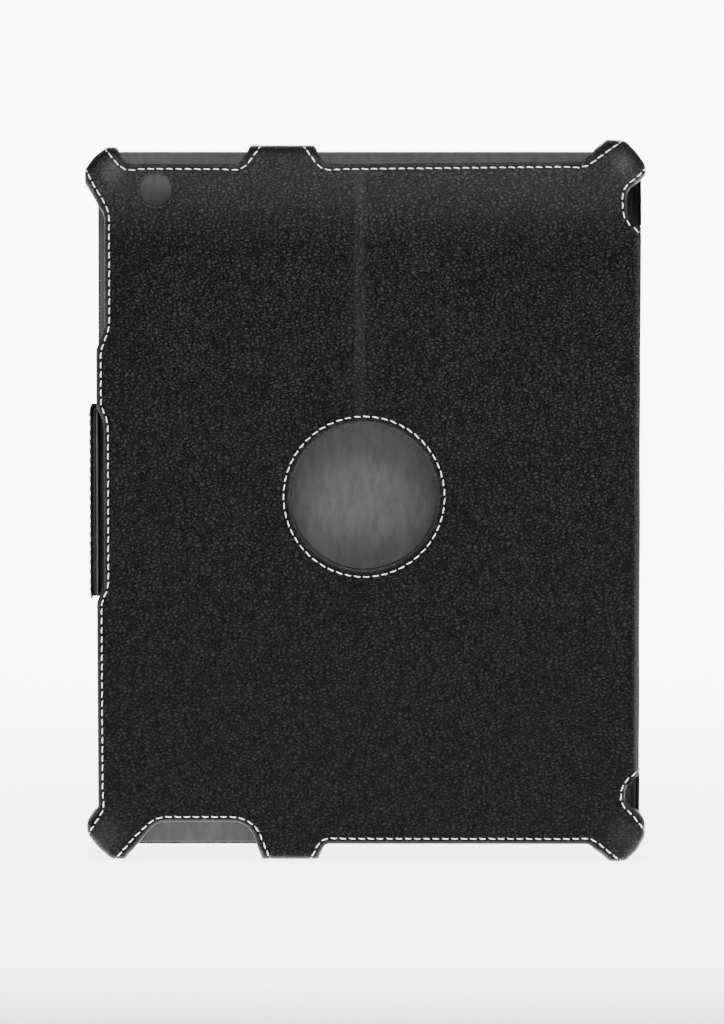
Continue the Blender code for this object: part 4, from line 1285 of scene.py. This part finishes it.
# ---------------------------------------------------------------- floor, light and camera
def stage_material():
    """Pale paper; a strip under and behind the case glows by emission, painted light that also lights the
    case.
    """
    material, tree, shader, place = started("studio_paper", False)
    tone = toned(tree, noise_at(tree, place, 0.02, 2.0, 0.5), 0.0, (0.76,) * 3, 1.0, (0.80,) * 3)
    parts = add(tree, "ShaderNodeSeparateXYZ")
    join(tree, place, parts.inputs[0])
    across = ranged(tree, maths(tree, "ABSOLUTE", parts.outputs[0], 0.0), 300.0, 1100.0, 1.0, 0.0)
    near = ranged(tree, parts.outputs[1], -450.0, -200.0, 0.0, PAPER_GLOW_FRONT)
    far = ranged(tree, parts.outputs[1], -100.0, 700.0, 0.0, PAPER_GLOW_BACK)
    low = ranged(tree, parts.outputs[2], 500.0, 1400.0, 1.0, 0.0)
    glow = times(tree, times(tree, plus(tree, near, far), across), low)
    # The glow is emission from the paper itself, not a lamp
    join(tree, glow, shader.inputs["Emission Strength"])
    feel = {"Emission_Color": (1.0, 1.0, 1.0, 1.0), "Roughness": 0.7, "Specular_IOR_Level": 0.1}
    return finished(material, tree, shader, tone, None, 0.0, **feel)


def sweep_floor():
    """A round floor that curves up into a backdrop on every side. Its lengths are in metres."""
    flat, bend, top, count = 4.4, 1.1, 4.0, 72
    profile = [(r, 0.0) for r in (0.25, 0.5, 1.0, 2.0, 3.2, flat)]
    for a in np.radians(np.linspace(7.5, 90, 12)):
        profile.append((flat + bend * math.sin(a), bend - bend * math.cos(a)))
    profile.append((flat + bend, top))
    verts = [(0.0, 0.0, 0.0)]
    for radius, z in profile:
        for a in np.linspace(0, 2 * math.pi, count, endpoint=False):
            verts.append((radius * math.sin(a), radius * math.cos(a), z))
    faces = [(0, 1 + (k + 1) % count, 1 + k) for k in range(count)]
    for n in range(len(profile) - 1):
        for k in range(count):
            first, second = 1 + n * count + k, 1 + n * count + (k + 1) % count
            faces.append((first, second, second + count, first + count))
    mesh = bpy.data.meshes.new("studio_sweep")
    mesh.from_pydata(verts, [], faces)
    mesh.shade_smooth()
    mesh.materials.append(stage_material())
    floor = bpy.data.objects.new("studio_sweep", mesh)
    bpy.context.scene.collection.objects.link(floor)


def aimed(obj, target):
    obj.rotation_mode = "QUATERNION"
    obj.rotation_quaternion = (Vector(target) - obj.location).to_track_quat("-Z", "Y")


def area_light(name, place, target, width, height, power):
    data = bpy.data.lights.new(name, "AREA")
    data.shape = "RECTANGLE"
    data.size = width
    data.size_y = height
    data.energy = power
    light = bpy.data.objects.new(name, data)
    light.location = place
    bpy.context.scene.collection.objects.link(light)
    aimed(light, target)


sweep_floor()
area_light("overhead_softbox", (0.0, -0.66, 0.88), (0.0, -0.02, 0.16), 0.95, 0.5, 20.0)
area_light("front_fill", (-0.5, -2.0, 1.5), (0.0, 0.0, 0.12), 1.0, 1.0, 8.0)
area_light("side_strip", (1.1, -0.55, 0.35), (0.09, 0.0, 0.12), 0.3, 0.9, 9.0)
world = bpy.data.worlds.new("studio")
world.use_nodes = True
world.node_tree.nodes["Background"].inputs[0].default_value = (1.0, 1.0, 1.0, 1.0)
world.node_tree.nodes["Background"].inputs[1].default_value = 0.1
bpy.context.scene.world = world

CAMERA_DISTANCE = 2.5
CAMERA_RISE = math.radians(5.0)
aim = Vector((-0.0014, -0.0096, 0.1225))
camera_data = bpy.data.cameras.new("photo_view")
camera_data.lens = 253.6
camera_data.sensor_width = 36.0
camera = bpy.data.objects.new("photo_view", camera_data)
bpy.context.scene.collection.objects.link(camera)
camera.location = aim + Vector((0.0, -math.cos(CAMERA_RISE), math.sin(CAMERA_RISE))) * CAMERA_DISTANCE
aimed(camera, aim)
bpy.context.scene.camera = camera
